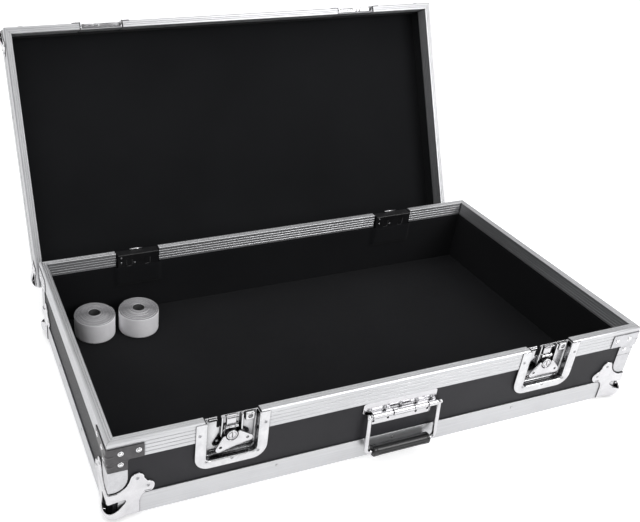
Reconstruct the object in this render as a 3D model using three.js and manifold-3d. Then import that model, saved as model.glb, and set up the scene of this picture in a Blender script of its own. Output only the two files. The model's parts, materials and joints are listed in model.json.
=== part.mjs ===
// A hinged pedalboard case: a shallow tray and a lid, both of laminated board edged
// with aluminium, with recessed butterfly latches, a sprung handle and stop hinges.
// Millimetres. +X is to the right of somebody facing the latches, +Y goes to the back,
// +Z is up. The origin is on the ground, under the middle of the open case's footprint.
import * as THREE from "three";
import { mergeVertices } from "three/addons/utils/BufferGeometryUtils.js";
import Module from "manifold-3d";

const wasm = await Module();
wasm.setup();

// ---- driving dimensions ----------------------------------------------------
const WIDTH = 1000; // over the aluminium faces, left to right
const DEPTH = 530; // over the aluminium faces, front to back
const FOOT = 8.5; // height of the tray's edges above the ground, on the ball corners
const BASE_HEIGHT = 155; // tray, from its lower edge to its rim
const LID_HEIGHT = 68; // lid, from its rim to its outer face
const CLOSED_GAP = 1.2; // between the two rims of the closed case
const OPEN_ANGLE = THREE.MathUtils.degToRad(115.5); // the lid at its stops

const BOARD = 9; // side boards and floor
const LID_PANEL = 6.5; // top panel of the lid
const SKIN = 2.2; // wall of the aluminium extrusions
const GAP = 0.3; // clearance between neighbouring pieces
const RIM_OUTER = 37; // height of a rim extrusion's outer face
const RIM_INNER = 29.5; // height of its inner face
const RIM_CHAMFER = 2; // on the outer edge of the rim
const BASE_ANGLE = 40; // leg of the tray's edge angles
const LID_ANGLE = 24; // leg of the lid's edge angles
const BASE_LINING = 3; // carpet in the tray
const LID_LINING = 2.5; // felt in the lid
const ANGLE_NOTCH = 16; // cut off the edge angles behind a ball corner's recess
const BOARD_NOTCH = 9; // and off the boards

const LATCH_X = 300; // latches, from the middle of the case
const HINGE_X = 301; // hinges, from the middle of the case
const HINGE_INSET = 10; // hinge pin, inwards from the rear face
const HINGE_DROP = 51; // hinge pin, below the rim
const FOOTPRINT_Y = 152.7; // middle of the open case's footprint, behind the tray's middle

// ---- derived levels ----------------------------------------------------------
const RIM_Z = FOOT + BASE_HEIGHT;
const LID_Z = RIM_Z + CLOSED_GAP; // rim of the closed lid
const LID_TOP = LID_Z + LID_HEIGHT;
const RECESS = SKIN + GAP; // board's outer face, inwards from the aluminium's
const RIM_DEPTH = 2 * RECESS + BOARD; // thickness of a rim extrusion
const FLOOR_Z = FOOT + RECESS + BOARD; // top of the floor panel
const HINGE_Y = DEPTH / 2 - HINGE_INSET;
const HINGE_Z = RIM_Z - HINGE_DROP;
const FAR = 2 * WIDTH; // longer than anything that is cut

// ---- materials -----------------------------------------------------------------
const finish = (color, roughness, metalness) => () =>
  new THREE.MeshStandardMaterial({ color, roughness, metalness });
const aluminium = finish(0xd8d9dc, 0.35, 0.9);
const laminate = finish(0x3c3c40, 0.55, 0);
const chrome = finish(0xe6e6e8, 0.12, 1);
const zincSteel = finish(0xc4c6ca, 0.3, 1);
const blackSteel = finish(0x18191b, 0.45, 0.3);
const carpet = finish(0x17181a, 0.95, 0);
const rubber = finish(0x1c1c1e, 0.6, 0);
const tape = finish(0xb9b9c2, 0.8, 0);

// ---- solids ----------------------------------------------------------------------
function solid(geometry) {
  const bare = geometry.clone();
  bare.deleteAttribute("normal");
  bare.deleteAttribute("uv");
  const merged = mergeVertices(bare, 1e-4);
  return new wasm.Manifold(
    new wasm.Mesh({
      numProp: 3,
      vertProperties: new Float32Array(merged.attributes.position.array),
      triVerts: new Uint32Array(merged.index.array),
    }),
  );
}

function geometryOf(body) {
  const mesh = body.getMesh();
  const geometry = new THREE.BufferGeometry();
  const points = new Float32Array(mesh.vertProperties);
  geometry.setAttribute("position", new THREE.BufferAttribute(points, 3));
  geometry.setIndex(new THREE.BufferAttribute(new Uint32Array(mesh.triVerts), 1));
  return geometry;
}

const joined = (...parts) => parts.map(solid).reduce((a, b) => a.add(b));
const cutBy = (body, ...tools) => tools.map(solid).reduce((a, b) => a.subtract(b), body);

// A box from its lowest corner to its highest.
function block(low, high) {
  const size = high.map((v, i) => v - low[i]);
  return new THREE.BoxGeometry(...size).translate(
    ...low.map((v, i) => v + size[i] / 2),
  );
}

// A rod along X.
const rod = (radius, x0, x1, y, z, segments = 20) =>
  new THREE.CylinderGeometry(radius, radius, x1 - x0, segments)
    .rotateZ(Math.PI / 2)
    .translate((x0 + x1) / 2, y, z);

// An outline drawn in (x, z), as a plate from y0 to y1.
function plateXZ(shape, y0, y1, curveSegments = 5) {
  const made = new THREE.ExtrudeGeometry(shape, {
    depth: y1 - y0,
    bevelEnabled: false,
    curveSegments,
  });
  return made.rotateX(Math.PI / 2).translate(0, y1, 0);
}

// An outline drawn in (y, z), as a plate from x0 to x1.
function plateYZ(shape, x0, x1, curveSegments = 8) {
  const made = new THREE.ExtrudeGeometry(shape, {
    depth: x1 - x0,
    bevelEnabled: false,
    curveSegments,
  });
  return made.rotateX(Math.PI / 2).rotateZ(Math.PI / 2).translate(x0, 0, 0);
}

function polygon(points) {
  return new THREE.Shape(points.map(([u, v]) => new THREE.Vector2(u, v)));
}

// An upright rectangle whose lower corners are rounded.
function pocket(halfWidth, bottom, top, radius) {
  const shape = new THREE.Shape();
  shape.moveTo(-halfWidth, top);
  shape.lineTo(-halfWidth, bottom + radius);
  shape.absarc(-halfWidth + radius, bottom + radius, radius, Math.PI, 1.5 * Math.PI);
  shape.absarc(halfWidth - radius, bottom + radius, radius, 1.5 * Math.PI, 2 * Math.PI);
  shape.lineTo(halfWidth, top);
  return shape;
}

// ---- the scene graph ----------------------------------------------------------------
// Everything is drawn about the tray's middle, then moved so that the origin is in the
// middle of the footprint.
const pedalboard = new THREE.Group();
pedalboard.position.y = -FOOTPRINT_Y;

// Everything on the lid is drawn as if the case were closed, then turned about the pins.
const lidTurn = new THREE.Group();
lidTurn.position.set(0, HINGE_Y, HINGE_Z);
lidTurn.rotation.x = -OPEN_ANGLE;
const lid = new THREE.Group();
lid.position.set(0, -HINGE_Y, -HINGE_Z);
lidTurn.add(lid);
pedalboard.add(lidTurn);

function place(parent, name, geometry, material) {
  const mesh = new THREE.Mesh(
    geometry.isBufferGeometry ? geometry : geometryOf(geometry),
    material(),
  );
  mesh.name = name;
  parent.add(mesh);
  return mesh;
}

// ---- aluminium extrusions ----------------------------------------------------------------
// Points along one straight face, with V-shaped grooves spread evenly over it.
function groovedFace(from, to, count, inward) {
  const GROOVE_HALF = 0.9;
  const GROOVE_DEPTH = 0.6;
  const a = new THREE.Vector2(...from);
  const b = new THREE.Vector2(...to);
  const along = b.clone().sub(a).normalize();
  const points = [a];
  for (let i = 1; i <= count; i++) {
    const middle = a.clone().lerp(b, i / (count + 1));
    points.push(middle.clone().addScaledVector(along, -GROOVE_HALF));
    points.push(middle.clone().add(new THREE.Vector2(...inward).multiplyScalar(GROOVE_DEPTH)));
    points.push(middle.clone().addScaledVector(along, GROOVE_HALF));
  }
  points.push(b);
  return points;
}

// The U-shaped rim extrusion: (inwards from the outer face, away from the rim plane).
function rimOutline() {
  const EASE = 1; // on the inner edge
  const top = groovedFace([RIM_CHAMFER, 0], [RIM_DEPTH - EASE, 0], 2, [0, 1]);
  const inner = groovedFace([RIM_DEPTH, EASE], [RIM_DEPTH, RIM_INNER], 4, [-1, 0]);
  const outer = groovedFace([0, RIM_OUTER], [0, RIM_CHAMFER], 4, [1, 0]);
  const slot = [
    [RIM_DEPTH - SKIN, RIM_INNER],
    [RIM_DEPTH - SKIN, SKIN],
    [SKIN, SKIN],
    [SKIN, RIM_OUTER],
  ].map((p) => new THREE.Vector2(...p));
  return [...top, ...inner, ...slot, ...outer];
}

// The edge angle: (inwards from the outer face, away from the case's outer edge).
const angleOutline = (leg) =>
  [
    [0, 0],
    [ANGLE_NOTCH, 0],
    [leg, 0],
    [leg, SKIN],
    [ANGLE_NOTCH, SKIN],
    [SKIN, SKIN],
    [SKIN, leg],
    [0, leg],
  ].map((p) => new THREE.Vector2(...p));

// A straight length of an extrusion along one side of the case. Mitred ends run in at
// 45 degrees, or square up to `notch`. `level` is the height that the outline starts from
// and `up` its direction.
function extrusion({ outline, level, up, side, from, to, mitres, notch }) {
  const { halfDepth, turn } = SIDES[side];
  const points = outline.map((p) => new THREE.Vector2(p.x, level + up * p.y));
  const made = new THREE.ExtrudeGeometry(new THREE.Shape(points), {
    depth: 1,
    bevelEnabled: false,
  });
  const at = made.attributes.position;
  for (let i = 0; i < at.count; i++) {
    const inwards = at.getX(i);
    const height = at.getY(i);
    const atEnd = at.getZ(i) > 0.5;
    const runIn = (mitres[atEnd ? 1 : 0] ? Math.max(inwards, notch) : 0) + GAP / 2;
    at.setXYZ(i, atEnd ? to - runIn : from + runIn, -halfDepth + inwards, height);
  }
  return made.rotateZ(turn);
}

const SIDES = {
  front: { halfDepth: DEPTH / 2, halfLength: WIDTH / 2, turn: 0 },
  right: { halfDepth: WIDTH / 2, halfLength: DEPTH / 2, turn: Math.PI / 2 },
  back: { halfDepth: DEPTH / 2, halfLength: WIDTH / 2, turn: Math.PI },
  left: { halfDepth: WIDTH / 2, halfLength: DEPTH / 2, turn: -Math.PI / 2 },
};

// One mitred length per side, or three where cut-outs of a given half width interrupt it.
function edging(parent, prefix, side, outline, level, up, options) {
  const { cutAt = 0, cutHalf = 0, notch = 0 } = options;
  const end = SIDES[side].halfLength;
  const whole = [["", -end, end, [true, true]]];
  const split = [
    ["_left", -end, -cutAt - cutHalf, [true, false]],
    ["_middle", -cutAt + cutHalf, cutAt - cutHalf, [false, false]],
    ["_right", cutAt + cutHalf, end, [false, true]],
  ];
  // Seen from outside the back, the case's right end is on the left.
  const swap = { _left: "_right", _middle: "_middle", _right: "_left", "": "" };
  for (const [suffix, from, to, mitres] of cutHalf ? split : whole) {
    const tail = side === "back" ? swap[suffix] : suffix;
    const geometry = extrusion({ outline, level, up, side, from, to, mitres, notch });
    place(parent, prefix + tail, geometry, aluminium);
  }
}

const LATCH_CUT = 46; // half width of the rim's cut-out at a latch
const HINGE_CUT = 46; // half width of the rim's cut-out at a hinge

for (const side of ["front", "back", "left", "right"]) {
  const latched = side === "front";
  const hinged = side === "back";
  const cutAt = latched ? LATCH_X : HINGE_X;
  const baseCut = { cutAt, cutHalf: latched ? LATCH_CUT : hinged ? HINGE_CUT : 0 };
  const lidCut = { cutAt, cutHalf: latched ? LATCH_CUT : 0 };
  const notched = { notch: ANGLE_NOTCH };
  const baseAngle = angleOutline(BASE_ANGLE);
  const lidAngle = angleOutline(LID_ANGLE);
  edging(pedalboard, `base_rim_${side}`, side, rimOutline(), RIM_Z, -1, baseCut);
  edging(lid, `lid_rim_${side}`, side, rimOutline(), LID_Z, 1, lidCut);
  edging(pedalboard, `base_edge_angle_${side}`, side, baseAngle, FOOT, 1, notched);
  edging(lid, `lid_edge_angle_${side}`, side, lidAngle, LID_TOP, -1, notched);
}

// ---- boards and linings ----------------------------------------------------------------
// A rectangular block of the case's plan, `inset` from the aluminium's outer faces.
const plan = (inset, z0, z1) =>
  block([inset - WIDTH / 2, inset - DEPTH / 2, z0], [WIDTH / 2 - inset, DEPTH / 2 - inset, z1]);

const LATCH_NOTCH = 45; // half width of the boards' notch for a latch dish
const LATCH_NOTCH_DROP = 81; // its depth below the tray's rim
const LID_NOTCH_RISE = 35; // and above the lid's rim
const HINGE_NOTCH = 43.5; // half width of the boards' notch for a hinge box
const HINGE_NOTCH_DROP = 70; // its depth below the tray's rim
const MIRRORED = [-1, 1];

const innerFace = RECESS + BOARD + GAP; // what fits between the side boards

// The four notches behind the ball corners, between two heights.
const cornerNotches = (z0, z1) =>
  MIRRORED.flatMap((sx) =>
    MIRRORED.map((sy) =>
      new THREE.BoxGeometry(2 * BOARD_NOTCH, 2 * BOARD_NOTCH, z1 - z0).translate(
        (sx * WIDTH) / 2,
        (sy * DEPTH) / 2,
        (z0 + z1) / 2,
      ),
    ),
  );

function baseBoards() {
  const ring = cutBy(
    solid(plan(RECESS, FOOT + RECESS, RIM_Z - RECESS)),
    plan(RECESS + BOARD, 0, RIM_Z),
  );
  const frontNotches = MIRRORED.map((s) =>
    block(
      [s * LATCH_X - LATCH_NOTCH, -DEPTH, RIM_Z - LATCH_NOTCH_DROP],
      [s * LATCH_X + LATCH_NOTCH, 0, FAR],
    ),
  );
  const backNotches = MIRRORED.map((s) =>
    block(
      [s * HINGE_X - HINGE_NOTCH, 0, RIM_Z - HINGE_NOTCH_DROP],
      [s * HINGE_X + HINGE_NOTCH, DEPTH, FAR],
    ),
  );
  const atCorners = cornerNotches(0, FOOT + BASE_ANGLE);
  return cutBy(ring, ...frontNotches, ...backNotches, ...atCorners);
}

function lidBoards() {
  const ring = cutBy(
    solid(plan(RECESS, LID_Z + RECESS, LID_TOP - RECESS)),
    plan(RECESS + BOARD, LID_Z, LID_TOP),
  );
  const notches = MIRRORED.map((s) =>
    block(
      [s * LATCH_X - LATCH_NOTCH, -DEPTH, 0],
      [s * LATCH_X + LATCH_NOTCH, 0, LID_Z + LID_NOTCH_RISE],
    ),
  );
  return cutBy(ring, ...notches, ...cornerNotches(LID_TOP - LID_ANGLE, LID_TOP));
}

const HINGE_BOX_HALF = 43; // half width
const HINGE_BOX_DEPTH = 20; // inwards from the rear face
const HINGE_BOX_LOW = RIM_Z - 69;
const HINGE_BOX_HIGH = RIM_Z - 2.5;

function baseLining() {
  const bottom = FLOOR_Z + GAP;
  const top = RIM_Z - RIM_INNER - GAP;
  const tray = cutBy(
    solid(plan(innerFace, bottom, top)),
    plan(innerFace + BASE_LINING, bottom + BASE_LINING, FAR),
  );
  const around = 1;
  const notches = MIRRORED.map((s) =>
    block(
      [
        s * HINGE_X - HINGE_BOX_HALF - around,
        DEPTH / 2 - HINGE_BOX_DEPTH - around,
        HINGE_BOX_LOW - around,
      ],
      [s * HINGE_X + HINGE_BOX_HALF + around, DEPTH, FAR],
    ),
  );
  return cutBy(tray, ...notches);
}

function lidLining() {
  const top = LID_TOP - RECESS - LID_PANEL - GAP;
  const bottom = LID_Z + RIM_INNER + GAP;
  return cutBy(
    solid(plan(innerFace, bottom, top)),
    plan(innerFace + LID_LINING, LID_Z, top - LID_LINING),
  );
}

place(pedalboard, "base_side_boards", baseBoards(), laminate);
place(pedalboard, "base_floor_panel", plan(innerFace, FOOT + RECESS, FLOOR_Z), laminate);
place(pedalboard, "base_carpet_lining", baseLining(), carpet);
place(lid, "lid_side_boards", lidBoards(), laminate);
const lidPanel = plan(innerFace, LID_TOP - RECESS - LID_PANEL, LID_TOP - RECESS);
place(lid, "lid_top_panel", lidPanel, laminate);
place(lid, "lid_felt_lining", lidLining(), carpet);

// ---- corner hardware ----------------------------------------------------------------
// Drawn at a corner whose case fills x > 0 and y > 0, then carried to all four corners.
const CORNERS = {
  front_left: { x: -WIDTH / 2, y: -DEPTH / 2, turn: 0 },
  front_right: { x: WIDTH / 2, y: -DEPTH / 2, turn: Math.PI / 2 },
  back_right: { x: WIDTH / 2, y: DEPTH / 2, turn: Math.PI },
  back_left: { x: -WIDTH / 2, y: DEPTH / 2, turn: -Math.PI / 2 },
};

const PLATE = 1.5; // thickness of the pressed corner plates
const BALL = 21.5; // radius of the corner ball
const BALL_CENTRE = 13.5; // its centre, inwards from the upright faces
const BALL_RISE = 12; // and from the case's outer edge

// The case near a corner, with clearance: proud at the edging, recessed at the board.
function cornerEnvelope(angleLeg, height, footLevel) {
  const zone = (inset, z0, z1) => block([inset, inset, z0], [FAR, FAR, z1]);
  return [
    zone(RECESS - GAP, footLevel - GAP, footLevel + height),
    zone(-GAP, footLevel - GAP, footLevel + angleLeg + GAP),
    zone(-GAP, footLevel + height - RIM_OUTER - GAP, footLevel + height + GAP),
  ];
}

// The same outline on the two upright faces: (along the face, height).
function bothFaces(shape) {
  const proud = -GAP - PLATE;
  const onFront = plateXZ(shape, proud, RECESS, 4);
  const onSide = plateYZ(shape, proud, RECESS, 4);
  return [onFront, onSide];
}

// Lobed plate of a ball corner. `size` scales it; heights are above the outer edge.
function lobedPlate(size, footLevel) {
  const LOBE = 10; // radius of the two riveted lobes
  const upper = [47, 73]; // their centres: (along the face, height)
  const outer = [64, 52];
  const shape = new THREE.Shape();
  const at = (u, w) => [u * size, footLevel + w * size];
  shape.moveTo(-GAP - PLATE, footLevel - GAP);
  shape.lineTo(...at(50, 0));
  shape.lineTo(...at(50, 26));
  shape.quadraticCurveTo(...at(52, 38), ...at(60, 43));
  shape.absarc(...at(...outer), LOBE * size, -1.1, 1.6);
  shape.absarc(...at(...upper), LOBE * size, -0.1, 2.9);
  shape.quadraticCurveTo(...at(36, 58), ...at(22, 48));
  shape.lineTo(-GAP - PLATE, footLevel + 45 * size);
  return shape;
}

function ballCorner(size, angleLeg, height, footLevel) {
  const ball = new THREE.SphereGeometry(BALL, 16, 10).translate(
    BALL_CENTRE,
    BALL_CENTRE,
    footLevel + BALL_RISE,
  );
  const under = block(
    [-GAP - PLATE, -GAP - PLATE, footLevel - GAP - PLATE],
    [46 * size, 46 * size, footLevel],
  );
  const whole = joined(ball, under, ...bothFaces(lobedPlate(size, footLevel)));
  const ground = block([-FAR, -FAR, -FAR], [FAR, FAR, footLevel - FOOT]);
  return cutBy(whole, ...cornerEnvelope(angleLeg, height, footLevel), ground);
}

// Rim brace: an L of two riveted arms over the rim, with a smooth tongue below it.
function cornerBrace() {
  const ARM = 58; // length of the arms
  const TONGUE = 33; // width of the tongue
  const TONGUE_END = FOOT + 52; // its lower end
  const armTop = RIM_Z - 10;
  const armBottom = RIM_Z - RIM_OUTER + 0.5;
  const shape = new THREE.Shape();
  shape.moveTo(-GAP - PLATE, armTop);
  shape.lineTo(ARM, armTop);
  shape.lineTo(ARM, armBottom);
  shape.lineTo(TONGUE, armBottom);
  shape.lineTo(TONGUE, TONGUE_END + 24);
  shape.quadraticCurveTo(TONGUE - 2, TONGUE_END + 4, 12, TONGUE_END);
  shape.lineTo(-GAP - PLATE, TONGUE_END);
  return cutBy(
    joined(...bothFaces(shape)),
    ...cornerEnvelope(BASE_ANGLE, BASE_HEIGHT, FOOT),
  );
}

const LID_CORNER_SIZE = 0.72; // of the tray's ball corners
const baseBall = geometryOf(ballCorner(1, BASE_ANGLE, BASE_HEIGHT, FOOT));
const brace = geometryOf(cornerBrace());
// The lid's corners are drawn upright, then turned over onto the lid's outer face.
const lidBall = geometryOf(ballCorner(LID_CORNER_SIZE, LID_ANGLE, LID_HEIGHT, FOOT));

for (const [corner, { x, y, turn }] of Object.entries(CORNERS)) {
  const onBase = (name, geometry, material) => {
    const mesh = place(pedalboard, name, geometry, material);
    mesh.position.set(x, y, 0);
    mesh.rotation.z = turn;
  };
  onBase(`base_ball_corner_${corner}`, baseBall, chrome);
  onBase(`base_corner_brace_${corner}`, brace, zincSteel);
  const upper = place(lid, `lid_ball_corner_${corner}`, lidBall, chrome);
  upper.position.set(x, y, LID_TOP + FOOT);
  upper.rotation.z = turn;
  upper.scale.z = -1;
}

// ---- latches ----------------------------------------------------------------
// Depths below are inwards from the front face; the latch is drawn around x = 0.
const FRONT = -DEPTH / 2;
const FLANGE = 1.5; // thickness of the flanges
const FLANGE_HALF = 61.5; // their half width
const DISH_HALF = 43; // half width of the dish's opening
const DISH_WALL = 1.2;
const DISH_FLOOR = 10.1; // depth of the dish's inner face
const DISH_RADIUS = 8; // of the opening's lower corners
const FLANGE_RADIUS = 25; // of the flange's
const CAM_Z = FOOT + 117; // the cam's axis
const DISH_BOTTOM = CAM_Z - 41;
const OPEN_END = 10; // how far an outline runs on past the rim before it is cut off

function dishShell(outer, inner, flange, top) {
  const rim = plateXZ(flange, FRONT - GAP - FLANGE, FRONT - GAP);
  const pan = plateXZ(outer, FRONT - GAP - FLANGE, FRONT + DISH_FLOOR + DISH_WALL);
  const hollow = plateXZ(inner, FRONT - FAR, FRONT + DISH_FLOOR);
  const above = block([-FAR, -FAR, top], [FAR, FAR, FAR]);
  return cutBy(joined(rim, pan), hollow, above);
}

function latchDish() {
  const FLANGE_BOTTOM = FOOT + 59;
  const beyond = RIM_Z + OPEN_END;
  return dishShell(
    pocket(DISH_HALF + DISH_WALL, DISH_BOTTOM - DISH_WALL, beyond, DISH_RADIUS + 1),
    pocket(DISH_HALF, DISH_BOTTOM, beyond + 1, DISH_RADIUS),
    pocket(FLANGE_HALF, FLANGE_BOTTOM, beyond, FLANGE_RADIUS),
    RIM_Z - 2,
  );
}

// Drawn upside down about the lid's rim, then turned over.
function lidLatchDish() {
  const HOLLOW = -33; // far end of the hollow, from the rim
  const FLANGE_BOTTOM = -50;
  const STRIKE = { half: 17, low: -22, high: -18, depth: 5 }; // the bar that the hook holds
  const shell = dishShell(
    pocket(DISH_HALF + DISH_WALL, HOLLOW - DISH_WALL, OPEN_END, DISH_RADIUS + 1),
    pocket(DISH_HALF, HOLLOW, OPEN_END + 1, DISH_RADIUS),
    pocket(FLANGE_HALF, FLANGE_BOTTOM, OPEN_END, FLANGE_RADIUS),
    -1.5,
  );
  const strike = block(
    [-STRIKE.half, FRONT + STRIKE.depth, STRIKE.low],
    [STRIKE.half, FRONT + DISH_FLOOR + DISH_WALL / 2, STRIKE.high],
  );
  return shell.add(solid(strike));
}

// Button and stub shaft of the eccentric cam.
function latchCam() {
  const BUTTON = { radius: 9, face: 1, back: 7.2 };
  const STUB = 4; // radius
  const disc = (radius, depth0, depth1) =>
    new THREE.CylinderGeometry(radius, radius, depth1 - depth0, 28).translate(
      0,
      (depth0 + depth1) / 2,
      0,
    );
  return joined(
    disc(BUTTON.radius, BUTTON.face, BUTTON.back),
    disc(STUB, BUTTON.back - 0.2, DISH_FLOOR - GAP),
  );
}

// Butterfly wing, hanging from the cam. It folds out about the x axis through z = 0.
function latchWing() {
  const CLEAR = 10.4; // radius of the cut-out around the cam's button
  const HORN = 3.5; // width of the wing's ends beside the button
  const HORN_TOP = 3;
  const CORNER = 6; // radius of the lower corners
  const [cornerX, cornerZ] = [26, -20]; // their centres
  const MIDDLE_Z = -24; // pulls up the middle of the lower edge
  const HOLE = { x: 23, z: -17, radius: 2.4 };
  const [FACE, BACK_FACE] = [1.2, 3.2];
  const shape = new THREE.Shape();
  shape.moveTo(CLEAR, HORN_TOP);
  shape.lineTo(CLEAR + HORN, HORN_TOP);
  shape.lineTo(cornerX + 5, cornerZ + 4);
  shape.absarc(cornerX, cornerZ, CORNER, 0.6, -Math.PI / 2, true);
  shape.quadraticCurveTo(0, MIDDLE_Z, -cornerX, cornerZ - CORNER);
  shape.absarc(-cornerX, cornerZ, CORNER, -Math.PI / 2, -Math.PI - 0.6, true);
  shape.lineTo(-CLEAR - HORN, HORN_TOP);
  shape.lineTo(-CLEAR, HORN_TOP);
  shape.absarc(0, 0, CLEAR, Math.PI, 2 * Math.PI);
  for (const s of MIRRORED) {
    const hole = new THREE.Path();
    hole.absarc(s * HOLE.x, HOLE.z, HOLE.radius, 0, 2 * Math.PI);
    shape.holes.push(hole);
  }
  return plateXZ(shape, FACE, BACK_FACE, 10);
}

// Claw plate that the cam lifts out of the dish. Drawn around the cam's axis.
function latchHook() {
  const HALF = 12; // half width
  const HOOK_TRAVEL = 9; // upwards
  const HOOK_PLAY = 0.9; // downwards, for a latch that was left a little turned
  const STUB_CLEAR = 4.6; // half width of the slot around the cam's stub
  const CLAW = { front: 3.6, back: 8, thick: 2.5 };
  const top = RIM_Z - 3 - CAM_Z;
  const bottom = -STUB_CLEAR - HOOK_TRAVEL - 5;
  const outline = polygon([
    [-HALF, bottom],
    [HALF, bottom],
    [HALF, top],
    [-HALF, top],
  ]);
  const slot = new THREE.Path();
  slot.absarc(0, HOOK_PLAY, STUB_CLEAR, 0, Math.PI);
  slot.absarc(0, -HOOK_TRAVEL - 0.4, STUB_CLEAR, Math.PI, 2 * Math.PI);
  outline.holes.push(slot);
  const plate = plateXZ(outline, 7.7, 9.5);
  const claw = block([-HALF, CLAW.front, top - CLAW.thick], [HALF, CLAW.back, top]);
  return joined(plate, claw);
}

// Rest angles of the wings: one was left a little turned, the other hangs level.
const WING_TILT = { left: THREE.MathUtils.degToRad(-13.5), right: 0 };
for (const [hand, s] of [["left", -1], ["right", 1]]) {
  const x = s * LATCH_X;
  place(pedalboard, `latch_dish_${hand}`, latchDish(), chrome).position.x = x;
  const strikeDish = place(lid, `lid_latch_dish_${hand}`, lidLatchDish(), chrome);
  strikeDish.position.set(x, 0, LID_Z);
  strikeDish.scale.z = -1;
  const works = new THREE.Group();
  works.position.set(x, FRONT, CAM_Z);
  pedalboard.add(works);
  place(works, `latch_hook_${hand}`, latchHook(), chrome);
  place(works, `latch_cam_${hand}`, latchCam(), chrome);
  const wing = place(works, `latch_wing_${hand}`, latchWing(), chrome);
  wing.rotation.y = WING_TILT[hand];
}

// ---- handle ----------------------------------------------------------------
const BARREL_Z = FOOT + 93;
const BARREL_Y = FRONT - 5;
const BARREL = 5.5; // radius
const BARREL_HALF = 62; // half length
const WIRE = 4; // radius of the bail
const LEG_X = 67; // bail's legs, from the bail's middle
const HANDLE_X = 3; // middle of the handle's plate
const BAIL_SHIFT = 7; // bail and barrel, to the right of the plate's middle
const LEAF_SHIFT = 7; // and the plate's lower leaf
const GRIP_Y = FRONT - 11.8;
const GRIP_Z = FOOT + 20;
const GRIP = 10; // radius
const GRIP_HALF = 55; // half length

function handlePlate() {
  const PLATE_HALF = 70.5;
  const LEAF_HALF = 58;
  const top = RIM_Z - RIM_OUTER - GAP;
  const bottom = FOOT + 68;
  const shape = polygon([
    [LEAF_SHIFT - LEAF_HALF, bottom],
    [LEAF_SHIFT + LEAF_HALF, bottom],
    [LEAF_SHIFT + LEAF_HALF, BARREL_Z - 6],
    [PLATE_HALF, BARREL_Z + 4],
    [PLATE_HALF, top],
    [-PLATE_HALF, top],
    [-PLATE_HALF, BARREL_Z + 4],
    [LEAF_SHIFT - LEAF_HALF, BARREL_Z - 6],
  ]);
  const back = plateXZ(shape, FRONT + RECESS - GAP - FLANGE, FRONT + RECESS - GAP);
  const [left, right] = [BAIL_SHIFT - BARREL_HALF, BAIL_SHIFT + BARREL_HALF];
  const barrel = rod(BARREL, left, right, BARREL_Y, BARREL_Z);
  const web = block([left, BARREL_Y, BARREL_Z - 3], [right, FRONT + 1, BARREL_Z + 3]);
  const bore = rod(WIRE + GAP, -FAR, FAR, BARREL_Y, BARREL_Z);
  return cutBy(joined(back, barrel, web), bore);
}

// Bent wire: in at one end of the barrel, down, across through the grip and up again.
function handleBail() {
  const ENTRY = 14; // length inside the barrel
  const BEND = 9;
  const inner = new THREE.Vector3(BARREL_HALF - ENTRY, BARREL_Y, BARREL_Z);
  const shoulder = new THREE.Vector3(LEG_X, BARREL_Y, BARREL_Z);
  const foot = new THREE.Vector3(LEG_X, GRIP_Y, GRIP_Z);
  const mirror = (p) => new THREE.Vector3(-p.x, p.y, p.z);
  const corners = [inner, shoulder, foot, mirror(foot), mirror(shoulder), mirror(inner)];
  const path = new THREE.CurvePath();
  let start = corners[0];
  for (let i = 1; i < corners.length - 1; i++) {
    const atShoulder = i === 1 || i === 4;
    const reach = atShoulder ? WIRE + 0.5 : BEND;
    const towards = (to) => corners[i].clone().lerp(to, reach / corners[i].distanceTo(to));
    const before = towards(corners[i - 1]);
    const after = towards(corners[i + 1]);
    path.add(new THREE.LineCurve3(start, before));
    path.add(new THREE.QuadraticBezierCurve3(before, corners[i], after));
    start = after;
  }
  path.add(new THREE.LineCurve3(start, corners.at(-1)));
  const stations = [];
  for (const piece of path.curves) {
    const steps = piece.isLineCurve3 ? 1 : 5;
    for (let i = 0; i < steps; i++) stations.push(piece.getPoint(i / steps));
  }
  stations.push(corners.at(-1));
  return sweptRod(stations, WIRE, 12);
}

// A round rod through stations that all lie in one plane, closed at both ends.
function sweptRod(stations, radius, around) {
  const count = stations.length;
  const plane = new THREE.Vector3()
    .subVectors(stations[count >> 1], stations[0])
    .cross(new THREE.Vector3().subVectors(stations.at(-1), stations[0]))
    .normalize();
  const points = [];
  const faces = [];
  stations.forEach((at, i) => {
    const previous = stations[Math.max(i - 1, 0)];
    const next = stations[Math.min(i + 1, count - 1)];
    const along = new THREE.Vector3().subVectors(next, previous).normalize();
    const across = new THREE.Vector3().crossVectors(along, plane).normalize();
    for (let j = 0; j < around; j++) {
      const angle = (2 * Math.PI * j) / around;
      points.push(
        at
          .clone()
          .addScaledVector(plane, radius * Math.cos(angle))
          .addScaledVector(across, radius * Math.sin(angle)),
      );
    }
  });
  const ring = (i, j) => i * around + (j % around);
  for (let i = 0; i + 1 < count; i++)
    for (let j = 0; j < around; j++) {
      faces.push(ring(i, j), ring(i, j + 1), ring(i + 1, j + 1));
      faces.push(ring(i, j), ring(i + 1, j + 1), ring(i + 1, j));
    }
  for (let j = 1; j + 1 < around; j++) {
    faces.push(ring(0, 0), ring(0, j + 1), ring(0, j));
    faces.push(ring(count - 1, 0), ring(count - 1, j), ring(count - 1, j + 1));
  }
  const made = new THREE.BufferGeometry().setFromPoints(points);
  made.setIndex(faces);
  return made;
}

function handleGrip() {
  const EASE = 2; // on the ends
  const across = [
    [GRIP, EASE],
    [GRIP, 2 * GRIP_HALF - EASE],
    [GRIP - EASE, 2 * GRIP_HALF],
    [WIRE + GAP, 2 * GRIP_HALF],
    [WIRE + GAP, 0],
    [GRIP - EASE, 0],
    [GRIP, EASE],
  ].map(([r, h]) => new THREE.Vector2(r, h));
  return new THREE.LatheGeometry(across, 20)
    .translate(0, -GRIP_HALF, 0)
    .rotateZ(Math.PI / 2)
    .translate(0, GRIP_Y, GRIP_Z);
}

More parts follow.
